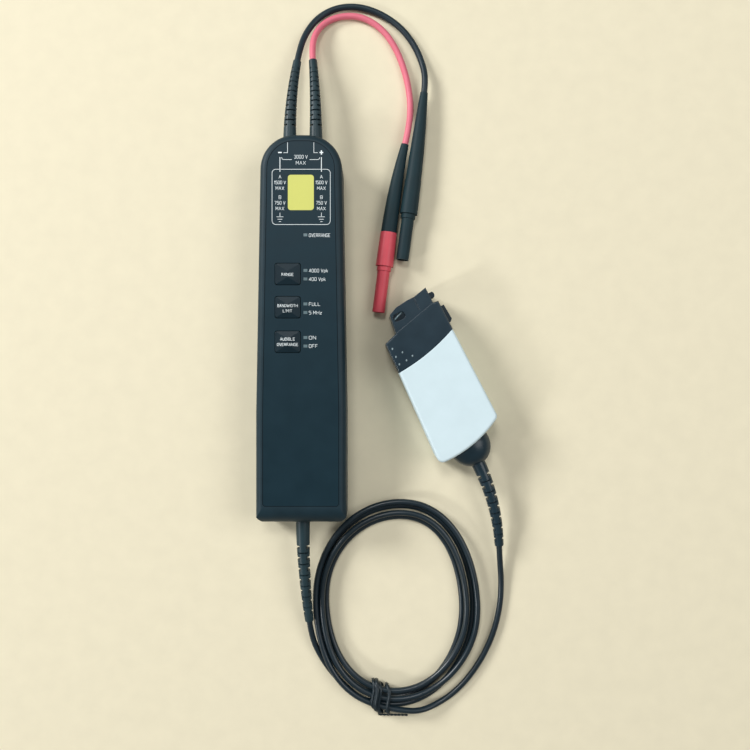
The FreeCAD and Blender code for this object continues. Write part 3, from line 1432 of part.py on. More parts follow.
def make_tie(place, heading):
    """A flat tie wrapped twice round the bundle, its twisted ends lying on the floor."""
    across = UP.cross(heading)
    turn = FreeCAD.Rotation(heading, across, UP, "XYZ")
    gap = number("tie_lift") - number("tie_thickness")
    thickness = number("tie_thickness")
    layer = CABLE + number("coil_gap")
    pitch = COIL_QUARTERS[0][2]
    overrun = 1.0
    outer = CABLE / 2 + gap
    low = V(0, -outer, -outer)
    height = layer + 2 * outer
    bands = []
    for index, width in enumerate((number("tie_width"), number("tie_second_width"))):
        length = 2 * pitch + 2 * outer + index * number("tie_second_room")
        shift = V(index * number("tie_spacing") - number("tie_width") / 2, 0, 0)
        inside = Part.makeBox(width + 2 * overrun, length, height,
                              low + shift - V(overrun, 0, 0))
        around = Part.makeBox(width, length + 2 * thickness, height + 2 * thickness,
                              low + shift - V(0, thickness, thickness))
        around = around.makeFillet(outer, [edge for edge in around.Edges
                                           if abs(edge.tangentAt(0).x) > 0.9])
        inside = inside.makeFillet(outer - thickness, [edge for edge in inside.Edges
                                                       if abs(edge.tangentAt(0).x) > 0.9])
        bands.append(around.cut(inside))
    bridge = Part.makeBox(number("tie_spacing"), thickness, height / 2,
                          V(0, -outer - thickness, -outer + height / 4))
    root_radius = number("tie_root_radius")
    twist = Part.makeCone(root_radius, number("tie_end_radius"), number("tie_tail_length"),
                          V(number("tie_spacing"), -outer - number("tie_tail_offset"),
                            root_radius - number("tie_lift") - CABLE / 2),
                          V(1, -number("tie_tail_slope"), 0))
    shape = bands[0].fuse([bands[1], bridge, twist])
    shape.Placement = FreeCAD.Placement(place, turn)
    feature("twist_tie", shape)


# ------------------------------------------------------------------ build
make_front_shell()
make_rear_shell()
make_overlay()
for key_name in KEYS:
    make_key(key_name)
make_switches()
make_lamps()
make_main_board()
make_attenuator()
make_amplifier()
make_terminals()
make_case_screws()
make_comp_shells()
make_hood()
make_latch()
make_connector()
make_comp_board()
doc.recompute()

INPUT_END = number(f"{TERMINAL_ROW} + terminal_size / 2")
half_spacing = number("input_spacing") / 2
black_heading = make_case_boot("negative_input_boot", "negative_lead_end", "input",
                               V(-half_spacing, CASE_END, BOOT_HEIGHT), BLACK_BOOT_TIP,
                               V(0, 1, 0), V(-half_spacing, INPUT_END, BOOT_HEIGHT), LEAD)
red_heading = make_case_boot("positive_input_boot", "positive_lead_end", "input",
                             V(half_spacing, CASE_END, BOOT_HEIGHT), RED_BOOT_TIP,
                             V(0, 1, 0), V(half_spacing, INPUT_END, BOOT_HEIGHT), LEAD)
output_heading = make_case_boot("output_boot", "output_cable_end", "output",
                                V(0, -CASE_END, BOOT_HEIGHT), OUTPUT_BOOT_TIP,
                                V(0, -1, 0), V(0, number(BOARD_LOW), BOOT_HEIGHT), CABLE)
black_plug_heading = make_plug("black", V(62.6, 45.4, PLUG_HEIGHT), BLACK_PLUG_TIP, -7.8)
red_plug_heading = make_plug("red", V(47.4, 12.0, PLUG_HEIGHT), RED_PLUG_TIP, -7.3)
comp_heading = make_comp_boot()
tie_place, tie_heading = make_cords(black_heading, red_heading, black_plug_heading,
                                    red_plug_heading, output_heading, comp_heading)
make_tie(tie_place, tie_heading)
doc.recompute()

# ------------------------------------------------------------------ checks and export
for thing in doc.Objects:
    if "Invalid" in thing.State or "Error" in thing.State:
        raise RuntimeError(f"{thing.Label} did not build: {thing.State}")
for piece in nodes:
    if piece.Shape.isNull() or not piece.Shape.isValid():
        raise RuntimeError(f"{piece.Label} has no valid shape")
os.makedirs("parts", exist_ok=True)
for piece in nodes:
    piece.Shape.exportStep(os.path.join("parts", piece.Label + ".step"))
print(len(nodes), "pieces")
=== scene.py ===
"""Looks of a high-voltage differential probe for an oscilloscope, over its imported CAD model."""

import json
import math

import bmesh
import bpy
from mathutils import Matrix, Vector


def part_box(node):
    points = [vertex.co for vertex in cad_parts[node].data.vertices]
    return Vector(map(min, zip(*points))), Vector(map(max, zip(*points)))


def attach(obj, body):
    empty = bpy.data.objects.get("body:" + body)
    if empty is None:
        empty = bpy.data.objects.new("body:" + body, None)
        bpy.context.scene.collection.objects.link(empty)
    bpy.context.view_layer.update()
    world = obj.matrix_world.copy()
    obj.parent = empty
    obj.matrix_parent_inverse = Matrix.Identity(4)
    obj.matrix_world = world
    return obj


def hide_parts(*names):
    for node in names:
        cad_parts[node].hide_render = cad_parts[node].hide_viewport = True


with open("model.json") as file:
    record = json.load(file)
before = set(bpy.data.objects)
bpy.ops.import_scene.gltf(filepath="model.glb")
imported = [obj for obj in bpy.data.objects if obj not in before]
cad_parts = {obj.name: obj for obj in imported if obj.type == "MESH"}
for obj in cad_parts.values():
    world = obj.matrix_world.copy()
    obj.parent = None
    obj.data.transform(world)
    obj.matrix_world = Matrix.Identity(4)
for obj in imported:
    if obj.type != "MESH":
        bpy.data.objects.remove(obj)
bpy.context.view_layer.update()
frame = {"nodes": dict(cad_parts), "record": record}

MM = 0.001
UP = Vector((0, 0, 1))


def mm(*values):
    """A point or size given in millimetres, in the scene's metres."""
    return Vector([value * MM for value in values])


# ---------------------------------------------------------------- finishes

# The curve from screen values to linear ones: where its straight foot ends, the foot's slope, and
# the offset, span and power of its bend.
SRGB_FOOT = 0.04045
SRGB_SLOPE = 12.92
SRGB_OFFSET = 0.055
SRGB_SPAN = 1.055
SRGB_POWER = 2.4

MOTTLE_SCALE = 90.0
MOTTLE_DETAIL = 5.0
MOTTLE_LOW = 0.3
MOTTLE_HIGH = 0.7
GLOSS_SWING = 0.06
GLOSS_LEAST = 0.05
GRAIN_DETAIL = 2.0
RELIEF_DEPTH = 0.05 * MM
EDGE_SAMPLES = 12


def linear(red, green, blue):
    """A colour given as 0 to 255 screen values, in the renderer's linear values."""
    channels = []
    for value in (red, green, blue):
        share = value / 255
        channels.append(share / SRGB_SLOPE if share <= SRGB_FOOT
                        else ((share + SRGB_OFFSET) / SRGB_SPAN) ** SRGB_POWER)
    return channels


def finish(name, screen, roughness, grain=0.35, bump=0.1, spread=0.12, metallic=0.0,
           specular=0.3, edge=0.0):
    """A moulded or plated surface: a mottled colour, a fine grain and an uneven gloss.

    screen is its colour in screen values, grain the grain's size in millimetres, bump its strength
    and spread how far the colour strays. edge is the radius, in millimetres, to which light finds
    the moulding's edges broken.
    """
    colour = linear(*screen)
    material = bpy.data.materials.new(name)
    material.use_nodes = True
    nodes = material.node_tree.nodes
    links = material.node_tree.links
    shader = nodes["Principled BSDF"]
    shader.inputs["Metallic"].default_value = metallic
    shader.inputs["Specular IOR Level"].default_value = specular

    place = nodes.new("ShaderNodeTexCoord")
    mottle = nodes.new("ShaderNodeTexNoise")
    mottle.inputs["Scale"].default_value = MOTTLE_SCALE
    mottle.inputs["Detail"].default_value = MOTTLE_DETAIL
    links.new(place.outputs["Object"], mottle.inputs["Vector"])
    tones = nodes.new("ShaderNodeValToRGB")
    low, high = tones.color_ramp.elements
    low.position = MOTTLE_LOW
    high.position = MOTTLE_HIGH
    low.color = (*[channel * (1 - spread) for channel in colour], 1.0)
    high.color = (*[min(1.0, channel * (1 + spread)) for channel in colour], 1.0)
    links.new(mottle.outputs["Fac"], tones.inputs["Fac"])
    links.new(tones.outputs["Color"], shader.inputs["Base Color"])

    gloss = nodes.new("ShaderNodeMapRange")
    gloss.inputs["To Min"].default_value = max(GLOSS_LEAST, roughness - GLOSS_SWING)
    gloss.inputs["To Max"].default_value = min(1.0, roughness + GLOSS_SWING)
    links.new(mottle.outputs["Fac"], gloss.inputs["Value"])
    links.new(gloss.outputs["Result"], shader.inputs["Roughness"])

    texture = nodes.new("ShaderNodeTexNoise")
    texture.inputs["Scale"].default_value = 1 / (grain * MM)
    texture.inputs["Detail"].default_value = GRAIN_DETAIL
    links.new(place.outputs["Object"], texture.inputs["Vector"])
    relief = nodes.new("ShaderNodeBump")
    relief.inputs["Strength"].default_value = bump
    relief.inputs["Distance"].default_value = RELIEF_DEPTH
    links.new(texture.outputs["Fac"], relief.inputs["Height"])
    if edge:
        rounding = nodes.new("ShaderNodeBevel")
        rounding.samples = EDGE_SAMPLES
        rounding.inputs["Radius"].default_value = edge * MM
        links.new(rounding.outputs["Normal"], relief.inputs["Normal"])
    links.new(relief.outputs["Normal"], shader.inputs["Normal"])
    return material


# One finish for each material slot: its name, screen colour, roughness and what else sets it apart.
FINISHES = {name: finish(name, screen, roughness, **looks) for name, screen, roughness, looks in (
    ("case_plastic", (24, 45, 54), 0.5, dict(bump=0.35, specular=0.25)),
    ("overlay_film", (16, 41, 51), 0.45, dict(grain=0.2, bump=0.12, spread=0.06, specular=0.2)),
    ("key_rubber", (12, 33, 42), 0.42, dict(grain=0.3, bump=0.15, specular=0.25, edge=0.3)),
    ("switch_plastic", (28, 28, 30), 0.5, {}),
    ("lamp", (226, 228, 214), 0.35, {}),
    ("light_pipe", (96, 116, 122), 0.25, dict(specular=0.5)),
    ("board", (24, 92, 52), 0.35, dict(specular=0.5)),
    ("chip", (30, 30, 32), 0.55, {}),
    ("ceramic", (92, 140, 170), 0.3, dict(specular=0.5)),
    ("barrier", (232, 230, 222), 0.6, {}),
    ("tin", (205, 206, 208), 0.32, dict(metallic=1.0, spread=0.05)),
    ("screw_steel", (176, 178, 182), 0.36, dict(metallic=1.0, spread=0.05)),
    ("terminal", (52, 110, 72), 0.45, {}),
    ("relief_rubber", (34, 54, 60), 0.42, dict(bump=0.2)),
    ("black_lead", (26, 42, 50), 0.42, dict(grain=0.5)),
    ("red_lead", (217, 112, 130), 0.4, dict(grain=0.5, spread=0.05)),
    ("grey_cable", (22, 37, 45), 0.32, dict(grain=0.5, bump=0.08, specular=0.5)),
    ("black_plug", (24, 46, 52), 0.55, dict(grain=0.5, bump=0.15, specular=0.2)),
    ("red_plug", (214, 80, 93), 0.4, dict(grain=0.5, spread=0.06)),
    ("nickel", (208, 208, 204), 0.22, dict(metallic=1.0, spread=0.04)),
    ("spring_brass", (214, 184, 112), 0.3, dict(metallic=1.0, spread=0.06)),
    ("pale_shell", (206, 225, 231), 0.42, dict(bump=0.15, spread=0.02, edge=0.9)),
    ("hood_plastic", (17, 41, 53), 0.34, dict(bump=0.2, specular=0.45, edge=0.4)),
    ("insulator", (236, 234, 226), 0.4, dict(spread=0.04)),
    ("gold", (222, 188, 112), 0.24, dict(metallic=1.0, spread=0.05)),
    ("comp_relief", (26, 46, 56), 0.32, dict(specular=0.4)),
    ("tie", (24, 38, 45), 0.4, dict(bump=0.15, specular=0.4)),
)}
PRINT = finish("panel_ink", (238, 247, 249), 0.5, grain=0.2, spread=0.05)
# Light grey for the hood's grip dots: a painted highlight for the glints the small bumps catch.
DOT_GLINT = finish("grip_dots", (136, 154, 160), 0.35)
# A near-black finish: painted shade for the groove round the panel film.
SEAM_SHADE = finish("seam_shadow", (6, 16, 22), 0.7, specular=0.1)
LABEL = finish("yellow_label", (204, 206, 108), 0.45, grain=0.5, bump=0.05, spread=0.02)

for subpart in frame["record"]["subparts"]:
    node = frame["nodes"][subpart["node"]]
    for holder in node.material_slots:
        holder.material = FINISHES[subpart["material_slot"]]


# ---------------------------------------------------------------- pieces

def add_piece(name, data, body, slot, material=None):
    """Put a mesh or curve on a body, with its slot's finish unless another is given."""
    data.materials.append(material or FINISHES[slot])
    piece = bpy.data.objects.new(name, data)
    bpy.context.scene.collection.objects.link(piece)
    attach(piece, body)
    return piece


def mesh_piece(name, shape, body, slot, material=None, smooth=False):
    """Turn a bmesh, in metres, into a piece."""
    bmesh.ops.recalc_face_normals(shape, faces=shape.faces)
    mesh = bpy.data.meshes.new(name)
    shape.to_mesh(mesh)
    shape.free()
    for polygon in mesh.polygons:
        polygon.use_smooth = smooth
    return add_piece(name, mesh, body, slot, material)


def bridge(shape, ring, after):
    """Faces between two closed rings with as many corners."""
    for index in range(len(ring)):
        following = (index + 1) % len(ring)
        shape.faces.new((ring[index], ring[following], after[following], after[index]))


# ---------------------------------------------------------------- lettering and lines

INK = 0.03
MITRE_LEAST = 0.3
CORNER_STEPS = 6


def slab(shape, corners, base, thickness=INK):
    """A thin plate over a flat outline, in millimetres. base is its height, or gives it."""
    levels = [base(x, y) if callable(base) else base for x, y in corners]
    low = [shape.verts.new(mm(x, y, level)) for (x, y), level in zip(corners, levels)]
    high = [shape.verts.new(mm(x, y, level + thickness))
            for (x, y), level in zip(corners, levels)]
    shape.faces.new(low[::-1])
    shape.faces.new(high)
    bridge(shape, low, high)


def round_rectangle(x, y, width, height, radius):
    """The corners of a rectangle about a centre, with round corners."""
    corners = []
    for quadrant, (side, rise) in enumerate(((1, 1), (-1, 1), (-1, -1), (1, -1))):
        centre_x = x + side * (width / 2 - radius)
        centre_y = y + rise * (height / 2 - radius)
        for step in range(CORNER_STEPS + 1):
            angle = (quadrant + step / CORNER_STEPS) * math.pi / 2
            corners.append((centre_x + radius * math.cos(angle),
                            centre_y + radius * math.sin(angle)))
    return corners


def closed_line(shape, outer, inner, base):
    """A closed line between two outlines with as many corners."""
    rings = [[shape.verts.new(mm(x, y, level)) for x, y in ring]
             for ring, level in ((outer, base), (outer, base + INK),
                                 (inner, base + INK), (inner, base))]
    for ring, after in zip(rings, rings[1:] + rings[:1]):
        bridge(shape, ring, after)


def stroke_line(shape, points, stroke, base):
    """An open line through points, with square ends and mitred corners."""
    left = []
    right = []
    places = [Vector(point) for point in points]
    for index, place in enumerate(places):
        before = (place - places[index - 1]).normalized() if index else None
        after = (places[index + 1] - place).normalized() if index + 1 < len(places) else None
        heading = ((before or after) + (after or before)).normalized()
        side = Vector((-heading.y, heading.x))
        reach = stroke / 2 / max(MITRE_LEAST, heading.dot(after or before))
        left.append(place + side * reach)
        right.append(place - side * reach)
    slab(shape, [tuple(point) for point in right + left[::-1]], base)


# Thin-stroked letters on a grid eight rows high: each word is one stroke, and each pair of digits
# in it a point's column and row.
GLYPHS = {
    "A": "003860 1353", "B": "0008 084857554404 4453514000", "D": "0008 084866624000",
    "E": "68080060 0454", "F": "000868 0454", "G": "675818070110506164 6434",
    "H": "0008 6068 0464", "I": "0008", "L": "080060", "M": "0008336860", "N": "00086068",
    "O": "30506167581807011030", "R": "0008 084857554404 3460", "T": "3038 0868",
    "U": "080110506168", "V": "083068", "W": "0820466088", "X": "0068 0860",
    "k": "0008 4502 1340", "p": "0007 073746433202", "z": "05450040",
    "0": "20405157481807011020", "1": "062820", "3": "071848575544 24445351401001",
    "4": "4048 480252", "5": "580805455451401001", "7": "085820",
}
GLYPH_ROWS = 8
LETTER_GAP = 2.5
WORD_GAP = 3.5
LETTER_STROKE = 0.2
DROPS = {"p": 2}


def letters(shape, text, x, y, cap, base, width, align="CENTER"):
    """Upright lettering about a middle height, as wide as given."""
    strokes = []
    pen = 0
    for character in text:
        columns = []
        for word in GLYPHS.get(character, "").split():
            points = [(int(word[index]), int(word[index + 1]) - DROPS.get(character, 0))
                      for index in range(0, len(word), 2)]
            columns += [column for column, row in points]
            strokes.append([(pen + column, row) for column, row in points])
        pen += max(columns) + LETTER_GAP if columns else WORD_GAP
    stretch = (width - LETTER_STROKE) / (pen - LETTER_GAP)
    left = x + LETTER_STROKE / 2 - (width / 2 if align == "CENTER" else 0)
    rise = (cap - LETTER_STROKE) / GLYPH_ROWS
    for stroke in strokes:
        stroke_line(shape, [(left + column * stretch, y + (row - GLYPH_ROWS / 2) * rise)
                            for column, row in stroke], LETTER_STROKE, base)


# ---------------------------------------------------------------- print on the panel

# Sizes and places are in millimetres from the case's middle. What stands in both halves of the
# panel is given for the right one and mirrored.
PANEL_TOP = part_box("panel_overlay")[1][2] / MM
FINE = 0.26
BOLD = 1.6 * FINE
SIGN_STROKE = 0.7
COLUMN_X = 12.6

# The film's outline: its corners, from the foot up, with how far each moves as the film grows by
# one, and the round corner at its top.
FILM_CORNERS = (
    ((21.93, -107.85), (0.4, -1.0)),
    ((23.1, -106.68), (1.0, -0.4)),
    ((23.1, -50.05), (1.0, 0.0)),
)
FILM_ARC_X = 4.0
FILM_ARC_Y = 97.85
FILM_ARC_RADIUS = 16.5
FILM_ARC_STEPS = 14
# How far the painted seam shade reaches out past the film's edge and in over it, in millimetres.
SEAM_OUT = 0.25
SEAM_IN = 0.1

# Middle, width, height and corner radius of the rating frame and of the yellow patch.
RATING_FRAME = (0.3, 80.3, 35.4, 33.6, 2.3)
PATCH = (0.1, 83.0, 15.8, 21.5, 1.8)

RATING_LINES = (
    ([(8.0, 113.4), (8.0, 107.2), (10.4, 107.2)], FINE),
    ([(COLUMN_X, 104.5), (COLUMN_X, 95.6)], BOLD),
    ([(11.7, 104.4), (11.2, 103.3), (10.4, 103.0), (5.4, 103.0)], FINE),
    ([(COLUMN_X, 70.7), (COLUMN_X, 68.5)], FINE),
)
# Bars across the column, of the earth sign and the lead's sign: height, half length and stroke.
COLUMN_BARS = (
    (68.2, 2.1, FINE), (66.7, 1.4, FINE), (65.3, 0.65, FINE), (107.3, 1.1, SIGN_STROKE),
)
PLUS_UPRIGHT = [(COLUMN_X, 106.0), (COLUMN_X, 108.6)]

# Words: their middle height, the text and its width.
RATING_CAP = 2.1
RATING_WORDS = (
    (92.5, "A", 1.7), (89.1, "1500 V", 7.2), (85.6, "MAX", 5.2),
    (80.1, "B", 1.5), (76.7, "750 V", 6.6), (73.2, "MAX", 5.2),
)
INPUT_X = 0.1
INPUT_CAP = 2.2
INPUT_WORDS = ((104.7, "3000 V", 8.3), (101.0, "MAX", 6.0))
LAMP_X = 5.0
LAMP_CAP = 2.15
LAMP_WORDS = (
    (57.0, "OVERRANGE", 13.0), (35.5, "4000 Vpk", 11.6), (30.3, "400 Vpk", 10.2),
    (15.1, "FULL", 6.9), (9.9, "5 MHz", 7.9), (-5.3, "ON", 4.3), (-10.4, "OFF", 5.3),
)


def film_edge(grow):
    """The panel film's outline, in millimetres, moved outwards by grow."""
    right = [(x + across * grow, y + along * grow) for (x, y), (across, along) in FILM_CORNERS]
    radius = FILM_ARC_RADIUS + grow
    for step in range(FILM_ARC_STEPS + 1):
        angle = step / FILM_ARC_STEPS * math.pi / 2
        right.append((FILM_ARC_X + radius * math.cos(angle),
                      FILM_ARC_Y + radius * math.sin(angle)))
    return right + [(-x, y) for x, y in reversed(right)]


def panel_print():
    """The rating frame, its lead lines and signs, and the words in it and beside the lamps."""
    shape = bmesh.new()
    x, y, width, height, radius = RATING_FRAME
    outer, inner = (round_rectangle(x, y, width + grow, height + grow, radius + grow / 2)
                    for grow in (FINE, -FINE))
    closed_line(shape, outer, inner, PANEL_TOP)
    for side in (-1, 1):
        for line, stroke in RATING_LINES:
            stroke_line(shape, [(side * x, y) for x, y in line], stroke, PANEL_TOP)
        for row, half, stroke in COLUMN_BARS:
            stroke_line(shape, [(side * COLUMN_X - half, row), (side * COLUMN_X + half, row)],
                        stroke, PANEL_TOP)
        for row, text, width in RATING_WORDS:
            letters(shape, text, side * COLUMN_X, row, RATING_CAP, PANEL_TOP, width)
    stroke_line(shape, PLUS_UPRIGHT, SIGN_STROKE, PANEL_TOP + INK)
    for row, text, width in INPUT_WORDS:
        letters(shape, text, INPUT_X, row, INPUT_CAP, PANEL_TOP, width)
    for row, text, width in LAMP_WORDS:
        letters(shape, text, LAMP_X, row, LAMP_CAP, PANEL_TOP, width, align="LEFT")
    mesh_piece("panel_print", shape, "root", "overlay_film", PRINT)


def panel_trim():
    """The bare yellow patch in the rating frame, and a dark line painted round the film as the
    shade in its seam.
    """
    patch = bmesh.new()
    slab(patch, round_rectangle(*PATCH), PANEL_TOP, 2 * INK)
    mesh_piece("yellow_label_patch", patch, "root", "overlay_film", LABEL)

    seam = bmesh.new()
    closed_line(seam, film_edge(SEAM_OUT), film_edge(-SEAM_IN), PANEL_TOP)
    mesh_piece("panel_seam_shade", seam, "root", "overlay_film", SEAM_SHADE)


panel_print()
panel_trim()


# ---------------------------------------------------------------- words on the keys

KEY_COLUMN = -7.9
KEY_HALF_LENGTH = 7.65
KEY_HALF_WIDTH = 6.5
KEY_RISE = 1.35
KEY_RIM = 0.25
KEY_HIP = 4.6
CASE_HEIGHT = 30.0
KEY_CAP = 1.8
# Each key's middle, and its words: their height over that middle, the text and its width.
KEY_WORDS = {
    "range": (33.4, ((-0.4, "RANGE", 7.3),)),
    "bandwidth": (13.2, ((0.9, "BANDWIDTH", 12.4), (-2.3, "LIMIT", 5.6))),
    "audible": (-7.8, ((1.6, "AUDIBLE", 9.0), (-1.7, "OVERRANGE", 12.9))),
}


def key_surface(row):
    """The height of a key's hipped top at a place, for the key in this row."""
    climb = KEY_RISE - KEY_RIM

    def height(x, y):
        slope = (KEY_HALF_LENGTH - abs(x - KEY_COLUMN)) / KEY_HALF_LENGTH
        hip = (KEY_HALF_WIDTH - abs(y - row)) / KEY_HIP
        return CASE_HEIGHT + KEY_RIM + climb * min(slope, hip, 1.0) + INK
    return height


for key, (row, lines) in KEY_WORDS.items():
    label = bmesh.new()
    for rise, text, width in lines:
        letters(label, text, KEY_COLUMN, row + rise, KEY_CAP, key_surface(row), width)
    mesh_piece(f"{key}_key_label", label, f"{key}_key_body", "key_rubber", PRINT)


# ---------------------------------------------------------------- connector hood

BOX_ORIGIN = Vector((104.65, -72.05, 0))
BOX_TURN = Matrix.Rotation(math.radians(25.9), 3, "Z")
HOOD_TOP = 26.0
GRIP_DOTS = ((-17.6, 75.3), (-17.8, 69.9), (-17.9, 64.9), (-13.0, 70.7), (-12.9, 65.2),
             (-8.4, 66.1))
GRIP_DOT_RADII = (0.5 * MM, 0.7 * MM, 0.3 * MM)
GRIP_DOT_SEGMENTS = 16
SLOT_BAR_START = (-9.5, 90.4, 24.3)
SLOT_BAR_END = (-1.1, 93.8, 24.3)
SLOT_BAR_RADIUS = 0.55 * MM
SLOT_BAR_SEGMENTS = 20


def box_point(x, y, z):
    """A place in the connector box's own frame, in the scene's metres."""
    return (BOX_ORIGIN + BOX_TURN @ Vector((x, y, z))) * MM


def hood_details():
    """The grip dots by the hood's corner, coloured light to paint on their glints, and the small
    bar in its slot.
    """
    dots = bmesh.new()
    for x, y in GRIP_DOTS:
        place = Matrix.Translation(box_point(x, y, HOOD_TOP))
        place @= Matrix.Diagonal((*GRIP_DOT_RADII, 1))
        bmesh.ops.create_uvsphere(dots, u_segments=GRIP_DOT_SEGMENTS,
                                  v_segments=GRIP_DOT_SEGMENTS // 2, radius=1.0, matrix=place)
    # The dots take the light grey finish, a painted highlight, not the hood's own colour.
    mesh_piece("hood_grip_dots", dots, "root", "hood_plastic", DOT_GLINT, smooth=True)

    start, end = box_point(*SLOT_BAR_START), box_point(*SLOT_BAR_END)
    turn = (end - start).to_track_quat("Z", "Y").to_matrix().to_4x4()
    bar = bmesh.new()
    bmesh.ops.create_cone(bar, cap_ends=True, segments=SLOT_BAR_SEGMENTS, radius1=SLOT_BAR_RADIUS,
                          radius2=SLOT_BAR_RADIUS, depth=(end - start).length,
                          matrix=Matrix.Translation((start + end) / 2) @ turn)
    mesh_piece("hood_slot_bar", bar, "root", "hood_plastic", FINISHES["light_pipe"], smooth=True)


hood_details()


# ---------------------------------------------------------------- cords

LEAD_DIAMETER = 4.0 * MM
CABLE_DIAMETER = 3.7 * MM
CORD_ORDER = 3
CORD_RESOLUTION = 10
CORD_ROUNDNESS = 6

BLACK_LEAD = [
    (-4.0, 170.3, 10.0), (-2.55, 179.0, 8.28), (1.0, 190.5, 5.2), (8.6, 201.6, 2.6),
    (20.5, 208.2, 2.0), (35.0, 209.0, 2.0), (49.0, 204.3, 2.0), (61.5, 195.8, 2.0),
    (70.5, 184.3, 2.0), (75.8, 171.5, 3.0), (77.5, 161.05, 5.65), (76.5, 152.1, 5.65),
]
RED_LEAD = [
    (5.9, 170.9, 10.0), (5.1, 179.7, 8.3), (7.0, 190.5, 5.2), (13.6, 198.9, 2.6),
    (24.5, 203.0, 2.0), (37.5, 202.2, 2.0), (49.3, 194.9, 2.0), (57.6, 184.0, 2.0),
    (63.4, 170.5, 2.0), (67.0, 156.0, 2.0), (68.1, 142.0, 3.2), (66.4, 127.85, 5.65),
    (64.3, 119.1, 5.65),
]
CABLE_START = [
    (3.5, -183.8, 8.0), (4.45, -192.5, 6.1), (8.0, -204.0, 3.4), (15.5, -216.5, 2.0),
    (25.0, -227.2, 2.0), (35.98, -235.95, 2.95), (44.78, -237.83, 2.95),
]
CABLE_TAIL = [
    (52.02, -239.37, 7.15), (60.8, -241.25, 7.15), (73.5, -242.4, 6.6), (86.0, -238.6, 2.8),
    (97.5, -231.0, 1.85), (107.5, -219.8, 1.85), (116.0, -206.3, 1.85), (122.3, -191.2, 1.85),
    (125.8, -175.0, 1.85), (126.3, -159.5, 2.6), (124.9, -144.85, 5.0), (124.2, -136.1, 7.0),
]

# The coil's four quarter points, from its tie on: place, heading, distance between turns there,
# how far the upper turns stand outside the lower ones, and whether the tie lifts it.
COIL_QUARTERS = [
    (Vector((48.4, -238.6, 0)), Vector((0.978, -0.209, 0)), 5.2, 0.0, 1),
    (Vector((110.0, -178.6, 0)), Vector((0, 1, 0)), 7.0, 6.1, 0),
    (Vector((62.0, -108.0, 0)), Vector((-1, 0, 0)), 7.0, 3.0, 0),
    (Vector((5.1, -169.5, 0)), Vector((0, -1, 0)), 4.2, -1.0, 0),
]
COIL_TURNS = 4
COIL_CLIMB_QUARTER = 7
COIL_CLIMB_ROOM = 1.3
COIL_FLOOR = 1.85
COIL_LAYER = 4.2
TIE_LIFT = 1.1
STEPS_PER_QUARTER = 8
HANDLE_SHARE = 0.39


def coil_stations():
    """The coil's quarters, as places and headings: half its turns inwards, the rest back on top."""
    stations = []
    quarters = 4 * COIL_TURNS
    for quarter in range(quarters + 1):
        place, heading, pitch, shift, tied = COIL_QUARTERS[quarter % 4]
        upper = quarter >= quarters / 2
        inward = min(quarter, quarters - quarter) / 4
        room = COIL_CLIMB_ROOM if quarter == COIL_CLIMB_QUARTER else 0
        offset = inward * pitch + room - (shift if upper else 0)
        height = COIL_FLOOR + TIE_LIFT * tied + (COIL_LAYER if upper else 0)
        stations.append((place + UP.cross(heading) * offset + UP * height, heading))
    return stations


def coil_points():
    """The coil's control points: each quarter turn is a smooth curve between two stations."""
    points = []
    stations = coil_stations()
    for (start, leaving), (end, arriving) in zip(stations, stations[1:]):
        reach = (end - start).length * HANDLE_SHARE
        handles = (start, start + leaving * reach, end - arriving * reach, end)
        for step in range(STEPS_PER_QUARTER):
            t = step / STEPS_PER_QUARTER
            weights = ((1 - t) ** 3, 3 * t * (1 - t) ** 2, 3 * t * t * (1 - t), t ** 3)
            points.append(sum((handle * weight for handle, weight in zip(handles, weights)),
                              Vector()))
    points.append(stations[-1][0])
    return points


def cord_piece(name, points, diameter, slot):
    """A round cord along one smooth line that points, in millimetres, pull into its curves."""
    curve = bpy.data.curves.new(name, "CURVE")
    curve.dimensions = "3D"
    spline = curve.splines.new("NURBS")
    spline.points.add(len(points) - 1)
    for control, point in zip(spline.points, points):
        control.co = (*mm(*point), 1.0)
    spline.order_u = CORD_ORDER
    spline.use_endpoint_u = True
    curve.resolution_u = CORD_RESOLUTION
    curve.bevel_depth = diameter / 2
    curve.bevel_resolution = CORD_ROUNDNESS
    curve.use_fill_caps = True
    return add_piece(name, curve, "root", slot)


black_lead = cord_piece("black_input_lead", BLACK_LEAD, LEAD_DIAMETER, "black_lead")
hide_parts("black_lead")
red_lead = cord_piece("red_input_lead", RED_LEAD, LEAD_DIAMETER, "red_lead")
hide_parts("red_lead")
cable_points = CABLE_START + coil_points() + CABLE_TAIL
cable = cord_piece("output_cable", cable_points, CABLE_DIAMETER, "grey_cable")
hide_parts("output_cable_start", "output_cable_coil", "output_cable_tail")


# ---------------------------------------------------------------- twist tie

TIE_ORIGIN, TIE_HEADING, TIE_PITCH = COIL_QUARTERS[0][:3]
TIE_SECTION = [(-1.05, 0.0), (-1.05, 0.25), (-0.85, 0.4), (-0.4, 0.25), (-0.2, 0.65), (0.2, 0.65),
               (0.4, 0.25), (0.85, 0.4), (1.05, 0.25), (1.05, 0.0)]
TIE_MIDDLE_HEIGHT = 5.05
TIE_UNDER = 3.9
# The ribbon's wraps: where each stands along the bundle at its outer side, top, inner side and
# underside, how far it bulges past the bundle's outer and inner sides, and its height on top.
TIE_WRAPS = [
    ((-1.8, -5.8, -7.6, -6.0), 0.9, 2.6, 4.4),
    ((-1.0, -4.0, -5.6, -4.4), 1.8, 3.0, 5.0),
    ((0.0, -3.4, -6.6, -4.0), 1.3, 2.0, 5.6),
    ((1.9, -1.7, -3.2, -0.3), 2.6, 1.4, 4.8),
    ((6.5, 4.3, 1.4, 2.2), 1.9, 1.7, 4.6),
]
WRAP_STEPS = 14
WRAP_ROUNDNESS = 0.6
TAIL_KNOT = Vector((47.4, -246.4, 1.5))
TAIL_END = Vector((66.2, -246.9, 1.3))
TAIL_TURNS = 4
TAIL_STEPS = 60
TAIL_TWIST = 0.35
TAIL_WIDTH = 0.6
DESCENT_STEPS = 6


